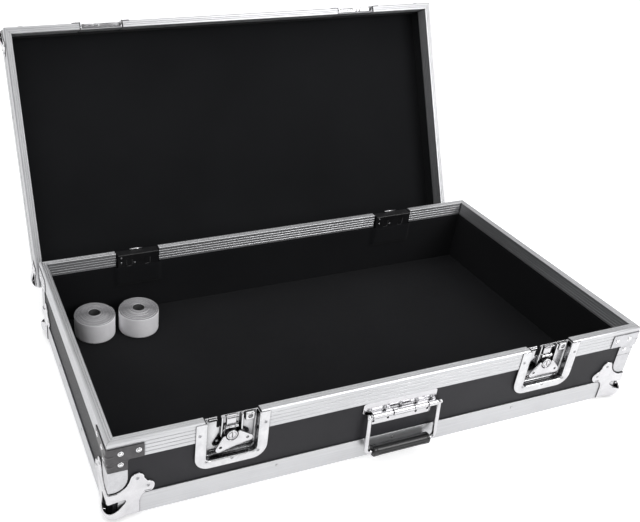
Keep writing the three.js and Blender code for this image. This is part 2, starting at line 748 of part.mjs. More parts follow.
place(pedalboard, "handle_plate", handlePlate(), chrome).position.x = HANDLE_X;
place(pedalboard, "handle_bail", handleBail(), chrome).position.x = HANDLE_X + BAIL_SHIFT;
place(pedalboard, "handle_grip", handleGrip(), rubber).position.x = HANDLE_X + BAIL_SHIFT;

// ---- stop hinges ----------------------------------------------------------------
const BACK = DEPTH / 2;
const PIN = 3; // radius

// Steel box let into the rear wall, open to the rear, with the hinge pin across it.
function hingeBox() {
  const WALL = 1.5;
  const FLANGE_REACH = 7.5; // around the box
  const FLANGE_THICK = 1.3;
  const STOP_HALF = 11.5; // half width of the bar that stiffens the box's top
  const box = block(
    [-HINGE_BOX_HALF, BACK - HINGE_BOX_DEPTH, HINGE_BOX_LOW],
    [HINGE_BOX_HALF, BACK + GAP, HINGE_BOX_HIGH],
  );
  const flange = block(
    [-HINGE_BOX_HALF - FLANGE_REACH, BACK + GAP, HINGE_BOX_LOW - FLANGE_REACH],
    [HINGE_BOX_HALF + FLANGE_REACH, BACK + GAP + FLANGE_THICK, HINGE_BOX_HIGH - 12],
  );
  const hollow = block(
    [-HINGE_BOX_HALF + WALL, BACK - HINGE_BOX_DEPTH + WALL, HINGE_BOX_LOW + WALL],
    [HINGE_BOX_HALF - WALL, FAR, HINGE_BOX_HIGH - WALL],
  );
  const pin = rod(PIN, -HINGE_BOX_HALF + 1, HINGE_BOX_HALF - 1, HINGE_Y, HINGE_Z, 16);
  const stopBar = block(
    [-STOP_HALF, BACK - 4, HINGE_BOX_HIGH - 1],
    [STOP_HALF, BACK - 1, RIM_Z],
  );
  return cutBy(joined(box, flange), hollow).add(solid(pin)).add(solid(stopBar));
}

// Two goose-necked arms on a leaf that is riveted to the lid's rear face.
function hingeLeaf() {
  const y0 = BACK + GAP;
  const y1 = y0 + 2.5;
  const EYE = 6; // radius around the pin
  const ARM = { half: 4, x0: 13, x1: 16 }; // half width, and where it stands
  const NECK_TOP = HINGE_Z + 49;
  const NECK_BOTTOM = HINGE_Z + 40;
  const LEAF_HALF = 42;
  const LEAF_LOW = LID_Z + 4;
  const LEAF_HIGH = LID_Z + 52;
  const shape = new THREE.Shape();
  const at = (y, z) => [HINGE_Y + y, HINGE_Z + z];
  shape.absarc(HINGE_Y, HINGE_Z, EYE, Math.PI, 2 * Math.PI);
  shape.lineTo(...at(ARM.half, 8));
  shape.lineTo(...at(ARM.half, 30));
  shape.lineTo(y1, NECK_BOTTOM);
  shape.lineTo(y1, NECK_TOP);
  shape.lineTo(y0, NECK_TOP);
  shape.lineTo(y0, HINGE_Z + 45);
  shape.lineTo(...at(6.5, 45));
  shape.lineTo(...at(-ARM.half, 34));
  shape.lineTo(...at(-ARM.half, 8));
  const hole = new THREE.Path();
  hole.absarc(HINGE_Y, HINGE_Z, PIN + GAP, 0, 2 * Math.PI);
  shape.holes.push(hole);
  const arms = [plateYZ(shape, -ARM.x1, -ARM.x0), plateYZ(shape, ARM.x0, ARM.x1)];
  const neck = block([-ARM.x1, y0, NECK_TOP - 3], [ARM.x1, y1, LEAF_LOW + 2]);
  const leaf = block([-LEAF_HALF, y0, LEAF_LOW], [LEAF_HALF, y1, LEAF_HIGH]);
  return joined(...arms, neck, leaf);
}

for (const [hand, s] of [["left", -1], ["right", 1]]) {
  place(pedalboard, `hinge_box_${hand}`, hingeBox(), blackSteel).position.x = s * HINGE_X;
  place(lid, `hinge_leaf_${hand}`, hingeLeaf(), zincSteel).position.x = s * HINGE_X;
}

// ---- rolls of hook-and-loop tape, stowed in the tray --------------------------------
const ROLL = { outer: 42.2, bore: 11.5, width: 51 };
const ROLL_PLACES = { left: [-408.5, 192], right: [-319, 184] };
function tapeRoll() {
  const across = [
    [ROLL.bore, 0],
    [ROLL.outer, 0],
    [ROLL.outer, ROLL.width],
    [ROLL.bore, ROLL.width],
    [ROLL.bore, 0],
  ].map(([r, h]) => new THREE.Vector2(r, h));
  return new THREE.LatheGeometry(across, 32).rotateX(Math.PI / 2);
}

for (const [hand, [x, y]] of Object.entries(ROLL_PLACES)) {
  const roll = place(pedalboard, `tape_roll_${hand}`, tapeRoll(), tape);
  roll.position.set(x, y, FLOOR_Z + GAP + BASE_LINING + GAP);
}

const whole = new THREE.Group();
whole.add(pedalboard);
export default whole;
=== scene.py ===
"""Looks of a hinged pedalboard case: laminated boards edged with ribbed aluminium.

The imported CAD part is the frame. Lengths inside the shape functions are millimetres;
placing a shape turns them into the row frame's metres.
"""

import json
import math
from functools import reduce

import bmesh
import bpy
import numpy as np
from mathutils import Matrix, Vector, noise


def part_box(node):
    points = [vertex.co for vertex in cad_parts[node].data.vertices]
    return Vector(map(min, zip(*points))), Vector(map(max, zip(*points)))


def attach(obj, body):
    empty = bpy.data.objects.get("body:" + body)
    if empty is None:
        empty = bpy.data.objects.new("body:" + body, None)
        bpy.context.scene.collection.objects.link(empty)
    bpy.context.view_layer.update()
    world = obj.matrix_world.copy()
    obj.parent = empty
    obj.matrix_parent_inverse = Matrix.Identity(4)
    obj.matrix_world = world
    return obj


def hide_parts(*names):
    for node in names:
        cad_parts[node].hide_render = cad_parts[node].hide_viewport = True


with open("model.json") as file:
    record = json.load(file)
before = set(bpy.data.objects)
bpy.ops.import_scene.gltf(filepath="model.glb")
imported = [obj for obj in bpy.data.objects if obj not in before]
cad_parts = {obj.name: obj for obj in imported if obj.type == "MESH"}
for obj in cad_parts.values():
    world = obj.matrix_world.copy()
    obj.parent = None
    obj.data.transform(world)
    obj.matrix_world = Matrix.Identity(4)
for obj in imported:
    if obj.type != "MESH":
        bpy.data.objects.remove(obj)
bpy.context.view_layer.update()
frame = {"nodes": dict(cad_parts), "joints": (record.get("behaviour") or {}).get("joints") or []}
NODES = frame["nodes"]
JOINTS = {j["name"]: j for j in frame["joints"]}
MM = 0.001


QUARTER = math.pi / 2


def move(x, y, z):
    return Matrix.Translation((x, y, z))


def rotate(angle, axis):
    return Matrix.Rotation(angle, 4, axis)


# ---- places, read from the frame ----
def low(node):
    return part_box(node)[0] / MM


def high(node):
    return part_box(node)[1] / MM


FRONT = low("base_rim_front_middle").y
BACK = high("base_rim_back_middle").y
LEFT = low("base_rim_left").x
RIGHT = high("base_rim_right").x
RIM = high("base_rim_left").z
FOOT = low("base_edge_angle_front").z
BASE_HEIGHT = RIM - FOOT
PIVOT = Vector(JOINTS["lid_hinge"]["pos_m"]) / MM
OPEN_ANGLE = math.radians(-JOINTS["lid_hinge"]["range_deg"][0])
# Lid pieces are drawn on the closed case, then turned open about the hinge pins.
LID = move(*PIVOT) @ rotate(-OPEN_ANGLE, "X") @ move(*-PIVOT)


def closed_box(node):
    """Lowest and highest corner of a lid node in the closed case, in millimetres."""
    back = LID.inverted()
    at = np.array([back @ (v.co / MM) for v in NODES[node].data.vertices])
    return Vector(at.min(0)), Vector(at.max(0))


LID_RIM = closed_box("lid_rim_left")[0].z
LID_TOP = closed_box("lid_edge_angle_left")[1].z
GAP = 0.3  # clearance between neighbouring pieces
PLATE = 1.5  # thickness of the pressed plates
PROUD = GAP + PLATE  # a plate's outer face, out from the aluminium
RECESS = 2.5  # board's face behind the aluminium's
RIM_FACE = 37.0  # height of the rim extrusion's outer face


# ---- signed distances ----
def most(*fields):
    return reduce(np.maximum, fields)


def least(*fields):
    return reduce(np.minimum, fields)


def smooth_min(a, b, k):
    h = np.clip(0.5 + 0.5 * (b - a) / k, 0, 1)
    return b + (a - b) * h - k * h * (1 - h)


def smooth_max(a, b, k):
    return -smooth_min(-a, -b, k)


def cut(whole, hole, k):
    """Whole less hole, with the edge between them rounded."""
    return smooth_max(whole, -hole, k)


def bell(v, middle, width):
    """A rounded ridge of height 1, for beads and rolled edges."""
    return np.exp(-(((v - middle) / width) ** 2))


def from_point(x, y, z, at):
    return np.sqrt((x - at[0]) ** 2 + (y - at[1]) ** 2 + (z - at[2]) ** 2)


def slab(v, lo, hi):
    return most(lo - v, v - hi)


def both(a, b, r=0.0):
    """Intersection whose outer edge is rounded to radius r."""
    a, b = a + r, b + r
    outside = np.hypot(most(a, 0), most(b, 0))
    return outside + least(most(a, b), 0) - r


def box(x, y, z, lo, hi, r=0.0):
    a = slab(x, lo[0], hi[0])
    b = slab(y, lo[1], hi[1])
    c = slab(z, lo[2], hi[2])
    return both(both(a, b, r), c, r)


def outline(points):
    """Signed distance to a closed polygon, as a function of two coordinates."""
    edges = list(zip(points, points[1:] + points[:1]))

    def distance(u, w):
        nearest = np.full(np.broadcast(u, w).shape, 1e12)
        inside = np.zeros(nearest.shape, bool)
        for (u0, w0), (u1, w1) in edges:
            eu, ew = u1 - u0, w1 - w0
            pu, pw = u - u0, w - w0
            t = np.clip((pu * eu + pw * ew) / max(eu * eu + ew * ew, 1e-9), 0, 1)
            nearest = least(nearest, (pu - eu * t) ** 2 + (pw - ew * t) ** 2)
            above, below, side = w >= w0, w < w1, eu * pw > ew * pu
            inside = inside ^ ((above & below & side) | (~above & ~below & ~side))
        return np.where(inside, -1.0, 1.0) * np.sqrt(nearest)

    return distance


def arc(u, w, r, start, end, count=8):
    turn = np.linspace(start, end, count)
    return [(u + r * math.cos(a), w + r * math.sin(a)) for a in turn]


def bow(a, b, c, count=6):
    """Points on the curve from a to c that is pulled towards b, without a."""
    made = []
    for t in np.linspace(0, 1, count)[1:]:
        p, q, s = (1 - t) ** 2, 2 * t * (1 - t), t * t
        made.append((p * a[0] + q * b[0] + s * c[0], p * a[1] + q * b[1] + s * c[1]))
    return made


def surface(field, lo, hi, step):
    """(points, quads, normals) of the closed surface where field(x, y, z) is zero."""
    shape = [int(math.ceil((h - l) / step)) + 1 for l, h in zip(lo, hi)]
    axes = [l + step * np.arange(n) for l, n in zip(lo, shape)]
    grid = np.meshgrid(*axes, indexing="ij", sparse=True)
    d = np.broadcast_to(field(*grid), shape)
    cells = [n - 1 for n in shape]
    size = int(np.prod(cells))
    total, count, quads = np.zeros((size, 3)), np.zeros(size), []
    for a in range(3):
        b, c = (a + 1) % 3, (a + 2) % 3
        d0 = np.take(d, range(shape[a] - 1), axis=a)
        d1 = np.take(d, range(1, shape[a]), axis=a)
        at = np.argwhere((d0 < 0) != (d1 < 0))
        keep = (at[:, b] > 0) & (at[:, c] > 0)
        at = at[keep & (at[:, b] < shape[b] - 1) & (at[:, c] < shape[c] - 1)]
        v0, v1 = d0[tuple(at.T)], d1[tuple(at.T)]
        point = at.astype(float)
        point[:, a] += v0 / (v0 - v1)
        ring = []
        for db, dc in ((0, 0), (-1, 0), (-1, -1), (0, -1)):
            cell = at.copy()
            cell[:, b] += db
            cell[:, c] += dc
            key = np.ravel_multi_index(cell.T, cells)
            for i in range(3):
                total[:, i] += np.bincount(key, point[:, i], size)
            count += np.bincount(key, minlength=size)
            ring.append(key)
        quad = np.stack(ring, 1)
        quad[v0 > 0] = quad[v0 > 0][:, ::-1]
        quads.append(quad)
    quads = np.concatenate(quads)
    used, index = np.unique(quads, return_inverse=True)
    points = np.array(lo) + step * total[used] / count[used][:, None]
    points, normals = settle(field, points, step)
    return points, index.reshape(-1, 4), normals


# In steps of the grid: how far apart slopes are read, and how far a point may be moved.
PROBE = 0.2
MAX_SHIFT = 0.4


def settle(field, points, step):
    """Moves points onto the surface, and gives its normals there."""
    e = PROBE * step

    def slope(p):
        parts = []
        for i in range(3):
            ahead, behind = p.copy(), p.copy()
            ahead[:, i] += e
            behind[:, i] -= e
            parts.append((field(*ahead.T) - field(*behind.T)) / (2 * e))
        return np.stack(parts, 1)

    gradient = slope(points)
    square = most((gradient**2).sum(1), 0.2)
    shift = np.clip(field(*points.T) / square, -MAX_SHIFT * step, MAX_SHIFT * step)
    points = points - gradient * shift[:, None]
    normals = slope(points)
    return points, normals / most(np.linalg.norm(normals, axis=1), 1e-6)[:, None]


# ---- putting pieces in place ----
def smooth(mesh):
    mesh.polygons.foreach_set("use_smooth", [True] * len(mesh.polygons))


def mesh_of(name, points, faces, normals=None):
    mesh = bpy.data.meshes.new(name)
    mesh.from_pydata([tuple(p) for p in points], [], [tuple(map(int, f)) for f in faces])
    mesh.validate()
    smooth(mesh)
    if normals is not None and len(mesh.vertices) == len(normals):
        mesh.normals_split_custom_set_from_vertices([tuple(n) for n in normals])
    return mesh


def solid(name, field, lo, hi, step):
    return mesh_of(name, *surface(field, lo, hi, step))


def placed(mesh, matrix):
    """A copy of a millimetre mesh, carried by matrix and scaled to metres."""
    made = mesh.copy()
    whole = Matrix.Scale(MM, 4) @ matrix
    made.transform(whole)
    if whole.determinant() < 0:
        made.flip_normals()
    return made


def linked(name, data):
    made = bpy.data.objects.new(name, data)
    bpy.context.scene.collection.objects.link(made)
    return made


def piece(name, mesh, matrix, body, slot, material=None):
    """A visible piece that rides on a body."""
    made = linked(name, placed(mesh, matrix))
    paint(made, material or LOOKS[slot])
    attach(made, body)
    return made


def look(node, mesh, matrix, body, slot, material=None, name=None):
    """The piece that is seen in place of a CAD node."""
    made = piece("look_" + (name or node), mesh, matrix, body, slot, material)
    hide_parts(node)
    return made


def joined_meshes(name, parts):
    """One mesh out of (mesh, matrix) pairs, still in millimetres."""
    work = bmesh.new()
    for mesh, matrix in parts:
        copy = mesh.copy()
        copy.transform(matrix)
        if matrix.determinant() < 0:
            copy.flip_normals()
        work.from_mesh(copy)
        bpy.data.meshes.remove(copy)
    made = bpy.data.meshes.new(name)
    work.to_mesh(made)
    work.free()
    smooth(made)
    return made


def turned(name, profile, around=28):
    """Mesh of revolution about z through (radius, height) points, from the bottom up."""
    points, faces, rings = [], [], []
    for r, h in profile:
        if r < 1e-6:
            rings.append([len(points)] * around)
            points.append((0, 0, h))
            continue
        rings.append([len(points) + j for j in range(around)])
        for j in range(around):
            a = 2 * math.pi * j / around
            points.append((r * math.cos(a), r * math.sin(a), h))
    for a, b in zip(rings, rings[1:]):
        for j in range(around):
            k = (j + 1) % around
            corners = [a[j], a[k], b[k], b[j]]
            faces.append(list(dict.fromkeys(corners)))
    return mesh_of(name, points, faces)


def swept(name, stations, section):
    """Closed skin over copies of a section; a station is (centre, u axis, v axis)."""
    points, faces = [], []
    count = len(section)
    for centre, u, v in stations:
        points += [centre + u * a + v * b for a, b in section]
    last = (len(stations) - 1) * count
    for a in range(0, last, count):
        for j in range(count):
            k = (j + 1) % count
            faces.append([a + j, a + k, a + count + k, a + count + j])
    faces.append(list(range(count))[::-1])
    faces.append([last + j for j in range(count)])
    return mesh_of(name, points, faces)


# ---- materials ----
class Nodes:
    """Short ways to add nodes to a shader tree."""

    def __init__(self, tree):
        self.tree = tree

    def node(self, kind, inputs=(), **settings):
        made = self.tree.nodes.new("ShaderNode" + kind)
        for key, value in settings.items():
            setattr(made, key, value)
        for key, value in dict(inputs).items():
            self.put(made.inputs[key], value)
        return made

    def put(self, socket, value):
        if isinstance(value, bpy.types.NodeSocket):
            self.tree.links.new(value, socket)
        else:
            socket.default_value = value


class Finish(Nodes):
    """A Principled material."""

    def __init__(self, name):
        self.material = bpy.data.materials.new(name)
        self.material.use_nodes = True
        super().__init__(self.material.node_tree)
        self.shader = self.tree.nodes["Principled BSDF"]

    def set(self, **inputs):
        for key, value in inputs.items():
            self.put(self.shader.inputs[key.replace("_", " ")], value)

    def position(self, scale=(1, 1, 1), tilt=0.0):
        """Place in the row frame at rest, stretched by a scale per axis."""
        where = self.node("TexCoord").outputs["Object"]
        if tilt:
            where = self.node("Mapping", {"Vector": where, "Rotation": (tilt, 0, 0)})
            where = where.outputs[0]
        return self.node("Mapping", {"Vector": where, "Scale": scale}).outputs[0]

    def noise(self, where, scale, detail=2.0, roughness=0.5):
        inputs = {"Vector": where, "Scale": scale, "Detail": detail, "Roughness": roughness}
        return self.node("TexNoise", inputs).outputs["Fac"]

    def cells(self, where, scale, feature="F1"):
        made = self.node("TexVoronoi", {"Vector": where, "Scale": scale}, feature=feature)
        return made.outputs["Distance"]

    def between(self, value, lo, hi, a=0.25, b=0.75):
        """Value carried from a..b onto lo..hi, and held there."""
        inputs = {"Value": value, "From Min": a, "From Max": b, "To Min": lo, "To Max": hi}
        return self.node("MapRange", inputs).outputs[0]

    def mix(self, share, a, b):
        """Colour a where share is 0, colour b where it is 1."""
        made = self.node("Mix", {"Factor": share}, data_type="RGBA")
        for socket, colour in ((6, a), (7, b)):
            self.put(made.inputs[socket], (*colour, 1) if isinstance(colour, tuple) else colour)
        return made.outputs[2]

    def times(self, value, share):
        return self.node("Math", {0: value, 1: share}, operation="MULTIPLY").outputs[0]

    def sum(self, a, b, share=1.0):
        return self.node("Math", {0: a, 1: self.times(b, share)}, operation="ADD").outputs[0]

    def bump(self, height, distance, strength=1.0, edge=0.0):
        inputs = {"Height": height, "Distance": distance, "Strength": strength}
        if edge:
            inputs["Normal"] = self.rounded(edge)
        self.set(Normal=self.node("Bump", inputs).outputs[0])

    def rounded(self, radius):
        return self.node("Bevel", {"Radius": radius}, samples=4).outputs[0]

    def crevice(self, reach, deep, clear):
        """Share for painted shade by ambient occlusion: `deep` far down in a crevice, `clear` in
        the open.
        """
        made = self.node("AmbientOcclusion", {"Distance": reach}, samples=6)
        return self.between(made.outputs["AO"], 0.0, 1.0, deep, clear)

    def wear(self, radius):
        """0 on flat faces, 1 where an edge is worn: how far the rounded normal turns."""
        true = self.node("NewGeometry").outputs["Normal"]
        inputs = {0: self.rounded(radius), 1: true}
        dot = self.node("VectorMath", inputs, operation="DOT_PRODUCT")
        return self.between(dot.outputs["Value"], 1.0, 0.0, 0.72, 0.985)


GRAIN = {"x": (6, 900, 900), "y": (900, 6, 900)}


def aluminium(name, along, tilt=0.0):
    """Satin anodised extrusion, its grain drawn along one axis, with painted shade in its
    grooves.
    """
    f = Finish(name)
    grain = f.noise(f.position(GRAIN[along], tilt), 1.0, 3.0)
    blotch = f.noise(f.position(), 14.0, 3.0)
    marks = f.noise(f.position((60, 60, 60)), 1.0, 5.0, 0.7)
    tone = f.sum(f.between(grain, 0.0, 0.7), f.between(blotch, 0.0, 0.3))
    satin = f.mix(tone, (0.45, 0.453, 0.465), (0.64, 0.643, 0.655))
    rubbed = f.mix(f.wear(0.0007), satin, (0.88, 0.88, 0.89))
    # Painted shade: darker in the ribs' grooves and where parts meet, by ambient occlusion.
    colour = f.mix(f.crevice(0.0035, 0.55, 0.96), (0.16, 0.16, 0.17), rubbed)
    rough = f.sum(f.between(grain, 0.30, 0.44), f.between(marks, -0.04, 0.08))
    f.set(Base_Color=colour, Metallic=0.82, Roughness=rough)
    f.bump(grain, 0.00005, 0.5, 0.0004)
    return f.material


def laminate():
    """Dark phenolic facing with a fine hexagonal relief, paler where edges are rubbed."""
    f = Finish("laminate")
    where = f.position()
    relief = f.cells(where, 520.0, "DISTANCE_TO_EDGE")
    blotch = f.noise(where, 9.0, 4.0)
    dust = f.noise(where, 900.0, 2.0)
    base = f.mix(f.between(blotch, 0, 1), (0.0075, 0.0075, 0.0095), (0.015, 0.0145, 0.018))
    colour = f.mix(f.times(f.wear(0.0008), 0.5), base, (0.08, 0.075, 0.07))
    f.set(Base_Color=colour, Roughness=f.between(dust, 0.42, 0.58), Specular_IOR_Level=0.24)
    f.bump(f.sum(f.between(relief, 0, 1, 0.0, 0.12), dust, 0.3), 0.00012, 0.7)
    return f.material


# Near black of the painted shade in crevices.
CREVICE_SHADE = (0.02, 0.02, 0.022)


def plated(name, dark, light, roughness, spangle=0.0, crevice=(0.007, 0.30, 0.85)):
    """Bright plated coat over pressed steel: smudges, polishing marks and a soft ripple, with
    painted shade in its crevices.
    """
    f = Finish(name)
    where = f.position()
    smudge = f.noise(where, 55.0, 4.0, 0.6)
    ripple = f.noise(where, 160.0, 1.0)
    polish = f.noise(f.position((1500, 1500, 90)), 1.0, 2.0)
    tone = f.between(smudge, 0.3, 1.0)
    if spangle:
        tone = f.sum(tone, f.cells(where, 420.0), -spangle)
    # Painted shade: crevices darken towards near black by ambient occlusion.
    colour = f.mix(f.crevice(*crevice), CREVICE_SHADE, f.mix(tone, dark, light))
    rough = f.sum(f.between(smudge, roughness, roughness + 0.12), polish, 0.06)
    f.set(Base_Color=colour, Metallic=1.0, Roughness=rough)
    f.bump(f.sum(ripple, polish, 0.25), 0.00006, 0.5)
    return f.material


def painted(name, dark, light, roughness):
    """Black powder coat with a fine orange peel, thin on the edges."""
    f = Finish(name)
    where = f.position()
    peel = f.noise(where, 1400.0, 2.0)
    coat = f.mix(f.between(f.noise(where, 60.0, 3.0), 0, 1), dark, light)
    colour = f.mix(f.times(f.wear(0.0006), 0.25), coat, (0.25, 0.25, 0.26))
    f.set(Base_Color=colour, Roughness=f.between(peel, roughness, roughness + 0.15))
    f.bump(peel, 0.00008, 0.6, 0.0004)
    return f.material


def pile(name, dark, light, scale, height):
    """Short matted fibres: tangled strands over slow tonal drift."""
    f = Finish(name)
    where = f.position()
    strands = f.noise(f.position((1, 2.4, 1)), scale, 6.0, 0.75)
    crossing = f.noise(f.position((2.4, 1, 1.6)), scale * 1.3, 6.0, 0.75)
    drift = f.noise(where, 7.0, 3.0)
    lint = f.between(f.noise(where, scale * 0.7, 2.0), 0.0, 1.0, 0.70, 0.80)
    tangle = f.sum(f.times(strands, 0.5), crossing, 0.5)
    tone = f.sum(f.between(tangle, 0.0, 0.8, 0.35, 0.65), f.between(drift, 0.0, 0.2))
    colour = f.mix(f.times(lint, 0.35), f.mix(tone, dark, light), (0.022, 0.022, 0.025))
    f.set(Base_Color=colour, Roughness=1.0, Specular_IOR_Level=0.06)
    f.set(Sheen_Weight=0.03, Sheen_Roughness=0.6)
    f.bump(tangle, height, 1.0)
    return f.material


def rubber():
    """Black rubber, scuffed along the grip."""
    f = Finish("rubber_grip")
    fine = f.noise(f.position(), 2600.0, 2.0)
    scuff = f.noise(f.position((25, 160, 160)), 1.0, 5.0, 0.7)
    worn = f.between(scuff, 0, 1, 0.45, 0.75)
    colour = f.mix(worn, (0.003, 0.003, 0.0034), (0.009, 0.009, 0.010))
    f.set(Base_Color=colour, Roughness=f.sum(f.between(fine, 0.20, 0.32), scuff, 0.08))
    f.bump(fine, 0.00008, 0.5)
    return f.material


def tape(name, dark, light):
    """Woven backing of the tape, pale; painted shade darkens the tops of the wound layers and
    the gaps between them.
    """
    f = Finish(name)
    where = f.position()
    weave = f.noise(f.position((900, 900, 2600)), 1.0, 2.0)
    fluff = f.noise(where, 1900.0, 5.0, 0.8)
    soil = f.noise(where, 45.0, 4.0)
    tone = f.sum(f.between(weave, 0.0, 0.4), f.between(soil, 0.0, 0.6))
    # Painted shade: darker in the gaps between the turns, by ambient occlusion.
    colour = f.mix(f.crevice(0.003, 0.25, 0.8), (0.12, 0.12, 0.13), f.mix(tone, dark, light))
    # Painted shade: faces turned up, the tops of the layers, darken towards near black in uneven
    # rings.
    facing = f.node("SeparateXYZ", {0: f.node("TexCoord").outputs["Normal"]})
    edge = f.between(facing.outputs["Z"], 0.95, 0.04, 0.45, 0.9)
    ring = f.between(f.noise(where, 260.0, 3.0, 0.7), 0.35, 1.0)
    colour = f.mix(f.sum(edge, ring, 0.22), (0.045, 0.045, 0.05), colour)
    f.set(Base_Color=colour, Roughness=0.9)
    f.set(Sheen_Weight=0.25, Sheen_Roughness=0.5, Specular_IOR_Level=0.2)
    f.bump(f.sum(weave, fluff, 0.8), 0.00025, 0.9)
    return f.material


# Reach, deepest share and open share of the painted crevice shade on chrome, and the wider,
# deeper one of the latch dishes.
CHROME_CREVICE = (0.010, 0.38, 0.92)
DISH_CREVICE = (0.018, 0.42, 0.93)
LOOKS = {
    "aluminium_extrusion": aluminium("aluminium_x", "x"),
    "laminate_board": laminate(),
    "chrome_steel": plated(
        "chrome", (0.50, 0.497, 0.51), (0.66, 0.655, 0.67), 0.09, 0.0, CHROME_CREVICE
    ),
    "zinc_steel": plated("zinc", (0.42, 0.42, 0.435), (0.60, 0.60, 0.615), 0.24, 0.35),
    "black_steel": painted("black_steel", (0.004, 0.004, 0.0045), (0.010, 0.010, 0.011), 0.3),
    "carpet": pile("carpet", (0.0026, 0.0027, 0.0032), (0.0125, 0.0128, 0.0145), 900.0, 0.0009),
    "felt": pile("felt", (0.0036, 0.0038, 0.0042), (0.0135, 0.014, 0.0155), 1500.0, 0.0005),
    "rubber_grip": rubber(),
    "hook_loop_tape": tape("tape", (0.80, 0.79, 0.82), (0.97, 0.96, 0.98)),
}
ALUMINIUM_Y = aluminium("aluminium_y", "y")
ALUMINIUM_TILTED = aluminium("aluminium_tilted", "y", OPEN_ANGLE)
# Painted shade: the latch dishes' chrome darkens further into their hollows.
DISH_CHROME = plated(
    "dish_chrome", (0.46, 0.46, 0.475), (0.70, 0.70, 0.71), 0.07, 0.0, DISH_CREVICE
)
# Painted shade: near-black steel put on the faces inside the ball corners' hollows.
SHADOWED = plated("shadowed_steel", (0.012, 0.012, 0.013), (0.16, 0.16, 0.17), 0.18)
# Painted shade: a darker copy of the zinc plate, for the front-left brace.
SHADED_BRACE_PLATE = plated("shaded_brace_plate", (0.055, 0.054, 0.056), (0.115, 0.112, 0.115), 0.30, 0.3)
RIVET_STEEL = plated("rivet_steel", (0.74, 0.74, 0.75), (0.90, 0.90, 0.91), 0.12)
CORE_BOARD = painted("core_board", (0.006, 0.006, 0.007), (0.015, 0.015, 0.017), 0.6)

# A CAD node's slot goes by the first line with a word that is in its name.
SLOT_WORDS = (
    ("aluminium_extrusion", ("_rim_", "_edge_angle_")),
    ("laminate_board", ("side_boards", "floor_panel", "top_panel")),
    ("zinc_steel", ("brace", "hinge_leaf")),
    ("black_steel", ("hinge_box",)),
    ("carpet", ("carpet",)),
    ("felt", ("felt",)),
    ("rubber_grip", ("grip",)),
    ("hook_loop_tape", ("roll",)),
    ("chrome_steel", ("",)),
)


def slot_by_name(node):
    return next(slot for slot, words in SLOT_WORDS if any(w in node for w in words))


def paint(obj, material):
    obj.data.materials.clear()
    obj.data.materials.append(material)


def soften(obj, width, segments=2):
    """Rounds the hard edges of a CAD solid without touching its mesh."""
    weld = obj.modifiers.new("weld", "WELD")
    weld.merge_threshold = 2e-5
    ease = obj.modifiers.new("ease", "BEVEL")
    ease.width = width * MM
    ease.segments = segments
    ease.limit_method = "ANGLE"
    ease.angle_limit = math.radians(38)
    ease.harden_normals = False


for node, obj in NODES.items():
    slot = slot_by_name(node)
    material = LOOKS[slot]
    if slot == "aluminium_extrusion":
        # Rails down the sides have their grain along y.
        if node.endswith(("_left", "_right")) and "front" not in node and "back" not in node:
            material = ALUMINIUM_TILTED if node.startswith("lid") else ALUMINIUM_Y
        soften(obj, 0.3)
    elif node.endswith("boards"):
        soften(obj, 0.3, 1)
    paint(obj, material)


# ---- rivets ----
def rivet_profile(radius, height, ring):
    """Domed head, with a pressed ring around it where ring is wider than the head."""
    dome = [
        (radius * math.cos(a), height * math.sin(a) - (0.2 if ring > radius else 0))
        for a in np.linspace(0.0, QUARTER, 7)
    ]
    skirt = [(ring, -0.3), (ring, 0.25), (ring - 0.3, 0.5)]
    skirt += [(radius + 0.7, 0.45), (radius + 0.3, -0.2)]
    start = skirt if ring > radius else [(radius, -0.3)]
    return start + dome[:-1] + [(0, dome[-1][1])]


DOMED = turned("rivet_domed", rivet_profile(2.7, 1.9, 4.6))
PLAIN = turned("rivet_plain", rivet_profile(3.0, 1.1, 3.0))
SMALL = turned("rivet_small", rivet_profile(2.2, 0.9, 2.2), 20)


def split_rivet_field(x, y, z):
    """Low round head with two crossing grooves, where the rivet was spread."""
    head = smooth_max(np.hypot(x, y) - 3.3, from_point(x, y, z, (0, 0, -4.2)) - 5.3, 0.4)
    head = most(head, -0.6 - z)
    a, b = (x + y) * 0.7071, (x - y) * 0.7071
    cross = least(both(abs(a) - 0.42, abs(b) - 2.1), both(abs(b) - 0.42, abs(a) - 2.1))
    return cut(head, most(cross, 0.25 - z), 0.3)


SPLIT = solid("rivet_split", split_rivet_field, (-4, -4, -1.2), (4, 4, 1.8), 0.25)

# Ways for a rivet, drawn along +z, to face out of each side of the case.
FACING_FRONT = rotate(QUARTER, "X")
FACING_BACK = rotate(-QUARTER, "X")
FACING_SIDE = rotate(-QUARTER, "Y")


def rivets_at(places, kind, facing):
    return [(kind, move(*p) @ facing) for p in places]


def rivet_row(places, kind, facing):
    """One mesh of the rivets at (x, y, z) places."""
    return joined_meshes("rivets", rivets_at(places, kind, facing))


# ---- corner hardware ----
# Drawn at a corner whose case fills x, y and z above 0.
CORNERS = {
    "front_left": (LEFT, FRONT, 0.0),
    "front_right": (RIGHT, FRONT, QUARTER),
    "back_right": (RIGHT, BACK, math.pi),
    "back_left": (LEFT, BACK, -QUARTER),
}
BALL = 21.5
BALL_AT = (13.5, 13.5, 12.0)
BALL_OVERHANG = 8.5  # how far the ball laps over the faces beside it
BALL_TOP = 30
HOLLOW_REACH = 30  # how far the hollow over the ball runs along each face
HOLLOW_SHELL = 2.2  # wall of the ball around it
HOLLOW_SHADE = 0.55  # how near to the hollow a face is dark


def outside(*axes):
    """Distance from the case's corner, positive outside it."""
    out = [-v for v in axes]
    far = np.sqrt(sum(most(v, 0) ** 2 for v in out))
    return far + least(most(*out), 0)


EASE = 3.0  # rounding of the plates around the case's outer edges
STEP_IN = 2.4  # how far the plates step down onto the boards
LOBE_DROP = 1.7  # and how far the tray's ball corners do
CUT_INTO = -3.6  # where plates lie on the boards, this far in is still plate


def eased(*axes):
    return outside(*[v - EASE for v in axes]) - EASE


